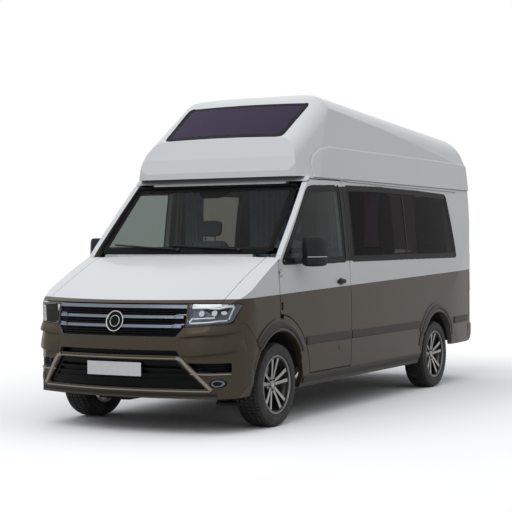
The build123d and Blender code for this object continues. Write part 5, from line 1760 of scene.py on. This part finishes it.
# %% Printed panel behind the mirror foot and roof window frame
sensor = Shape()
rings = []
for z, half in ((1.955, 0.085), (1.975, 0.125), (2.000, 0.150), (2.052, 0.165)):
    ring = []
    for x, lift in ((-half, 0.0002), (-half, 0.0008), (half, 0.0008), (half, 0.0002)):
        point, out = front_spot(x, z)
        ring.append(point + out * lift)
    rings.append(ring)
sensor.loft(rings)
sensor.piece("sensor_panel", [BLACK_GLOSS], "van_body", slot="black_plastic")

roof_line = ((-0.620, 1.798), (0.620, 1.798), (0.645, 2.318), (-0.645, 2.318))
frame_ring = Shape()
path = closed_path(roof_line, 0.06, 0.04)
trim(frame_ring, [top_spot(x, back(y)) for x, y in path], 0.028, 0.003, looped=True)
path = closed_path(inset(roof_line, 0.020), 0.05, 0.04)
trim(frame_ring, [top_spot(x, back(y)) for x, y in path], 0.040, 0.0007, looped=True, sunk=0.0002, flat=0.98)
frame_ring.piece("roof_window_frame", [SEAL_RUBBER], "van_body", slot="black_plastic", smooth=60)

# %% Tail
for side_name, side in (("left", 1), ("right", -1)):
    body = "rear_door_" + side_name
    hinges = Shape()
    for z in (0.760, 1.250, 1.900):
        skin, out = rear_spot(side * 0.800, z)
        rings = []
        for lift, size in ((0.0, 1.0), (0.006, 0.96), (0.009, 0.80), (0.0092, 0.05)):
            rings.append([
                (side * (0.795 + 0.040 * size * math.cos(a)), skin.y + lift, z + 0.030 * size * math.sin(a))
                for a in (2 * math.pi * n / 24 for n in range(24))
            ])
        hinges.loft(rings)
    hinges.piece("rear_hinge_covers_" + side_name, [PAINT], body, slot="body_paint", smooth=50)

grip = Shape()
rings = []
for k in range(15):
    t = k / 14
    bow = math.sin(math.pi * t) ** 0.5 if 0 < t < 1 else 0
    z = 1.10 + 0.22 * t
    skin, out = rear_spot(-0.070, z)
    centre = skin + out * (0.003 + 0.018 * bow)
    rings.append([
        centre + Vector(((0.010 + 0.006 * bow) * math.cos(a), 0.006 * math.sin(a), 0))
        for a in (2 * math.pi * n / 12 for n in range(12))
    ])
grip.loft(rings)
grip.piece("rear_handle", [DARK_PLASTIC], "rear_door_right", slot="black_plastic", smooth=50)

AMBER = gloss_plastic("amber_lens", colour(200, 110, 30), roughness=0.2)
PALE_LENS = gloss_plastic("pale_lens", colour(210, 212, 214), roughness=0.15)
DEEP_RED = gloss_plastic("deep_red_lens", colour(170, 14, 16), roughness=0.15)
for side_name, side in (("left", 1), ("right", -1)):
    lens = Shape()
    for slot, low, high in ((0, 1.225, 1.425), (1, 1.125, 1.215), (2, 0.995, 1.115)):
        rings = []
        for k in range(7):
            z = low + (high - low) * k / 6
            ring = []
            for x, lift in ((0.888, 0.0), (0.890, 0.003), (0.925, 0.004), (0.948, 0.004), (0.955, 0.0)):
                skin, out = rear_spot(side * x, z)
                ring.append(skin + out * lift)
            rings.append(ring)
        lens.loft(rings, slot)
    for z in [1.005 + 0.012 * k for k in range(9)]:
        lens.box((side * 0.900, rear_spot(side * 0.92, z)[0].y + 0.002, z),
            (side * 0.940, rear_spot(side * 0.92, z)[0].y + 0.0052, z + 0.003), slot=2)
    lens.piece("tail_lens_" + side_name, [DEEP_RED, PALE_LENS, AMBER], "van_body", slot="red_lens", smooth=50)

# %% [markdown]
# The rear bumper
#
# A van's rear bumper is a thin painted cover that grows out of the flank and wraps round the
# corner. A straight bar would stand out like a box, so one upright section is carried along
# points on the body's skin, nearly flush beside the wheel and thicker behind. A row of flat
# grip pads lies on its top edge, and a red reflector sits near each end.

# %% Rear bumper that fades into the flanks
BUMPER_START = 5.668


def bumper_line():
    """Body points just above the bumper with outward normals and how proud the bumper is there."""
    found = []
    for y in (BUMPER_START, 5.70, 5.74, 5.78, 5.82):
        found.append((side_spot(1, back(y), 0.660), (y - BUMPER_START) / 0.152 * 0.012 + 0.002))
    for x in (0.955, 0.93, 0.90, 0.86, 0.80, 0.70, 0.55, 0.40, 0.25, 0.10):
        found.append((rear_spot(x, 0.640), 0.014 + 0.011 * min(1, (0.955 - x) / 0.16)))
    mirrored = [((Vector((-p.x, p.y, p.z)), Vector((-n.x, n.y, n.z))), proud) for (p, n),
        proud in reversed(found)]
    return found + mirrored


bumper = Shape()
rings = []
for (spot, normal), proud in bumper_line():
    out = Vector((normal.x, normal.y, 0)).normalized()
    rings.append([
        Vector((spot.x, spot.y, 0)) + out * (proud * share - sunk) + Vector((0, 0, z))
        for z, share, sunk in (
            (0.628, 0.0, 0.030), (0.628, 0.75, 0.0), (0.618, 1.0, 0.0), (0.560, 1.0, 0.0),
            (0.500, 1.0, 0.002),
            (0.452, 0.85, 0.010), (0.432, 0.5, 0.020), (0.431, 0.0, 0.045),
        )
    ])
bumper.loft(rings)
TAIL_Y = 2.993
for point in bumper.points:
    point.y = min(point.y, TAIL_Y)
bumper.piece("rear_bumper_skin", [PAINT], "van_body", node="rear_bumper", slot="body_paint", smooth=50)
step = Shape()
for x in [-0.60 + 0.10 * k for k in range(13)]:
    skin, _ = rear_spot(x, 0.650)
    step.box((x - 0.040, skin.y + 0.004, 0.6275), (x + 0.040, skin.y + 0.017, 0.6300))
step.piece("step_pad", [DARK_PLASTIC], "van_body", slot="black_plastic", bevel=0.001)
for side_name, side in (("left", 1), ("right", -1)):
    reflector = Shape()
    rings = []
    for x in (0.700, 0.704, 0.790, 0.794):
        skin, out = rear_spot(side * x, 0.640)
        face = skin + out * 0.0245
        rings.append([
            (side * x, min(face.y + (lift if 0.701 < x < 0.793 else 0.0), TAIL_Y), z)
            for z, lift in ((0.520, 0.0), (0.523, 0.003), (0.549, 0.003), (0.552, 0.0))
        ])
    reflector.loft(rings)
    reflector.piece("rear_reflector_" + side_name, [DEEP_RED], "van_body", slot="red_lens")
print("outside pieces ready")

# %% [markdown]
# A raised band runs along each side of the high roof. Its upper edge is a soft ridge that turns
# down behind the brow, so a thin rounded ridge follows it and gives the edge its light and shade.

# %% Ridge along the roof sides
for side_name, side in (("left", 1), ("right", -1)):
    ridge = Shape()
    corners = ((1.892, 2.17), (1.900, 2.25), (1.960, 2.33), (2.090, 2.395), (2.290, 2.424), (5.424, 2.430),
        (5.76, 2.427))
    path = along(corners, 0.05)
    trim(ridge, [side_spot(side, back(y), z) for y, z in path], 0.030, 0.003, flat=0.35)
    ridge.piece("roof_ridge_" + side_name, [PAINT], "van_body", slot="white_paint", smooth=70)
print("roof ridges ready")
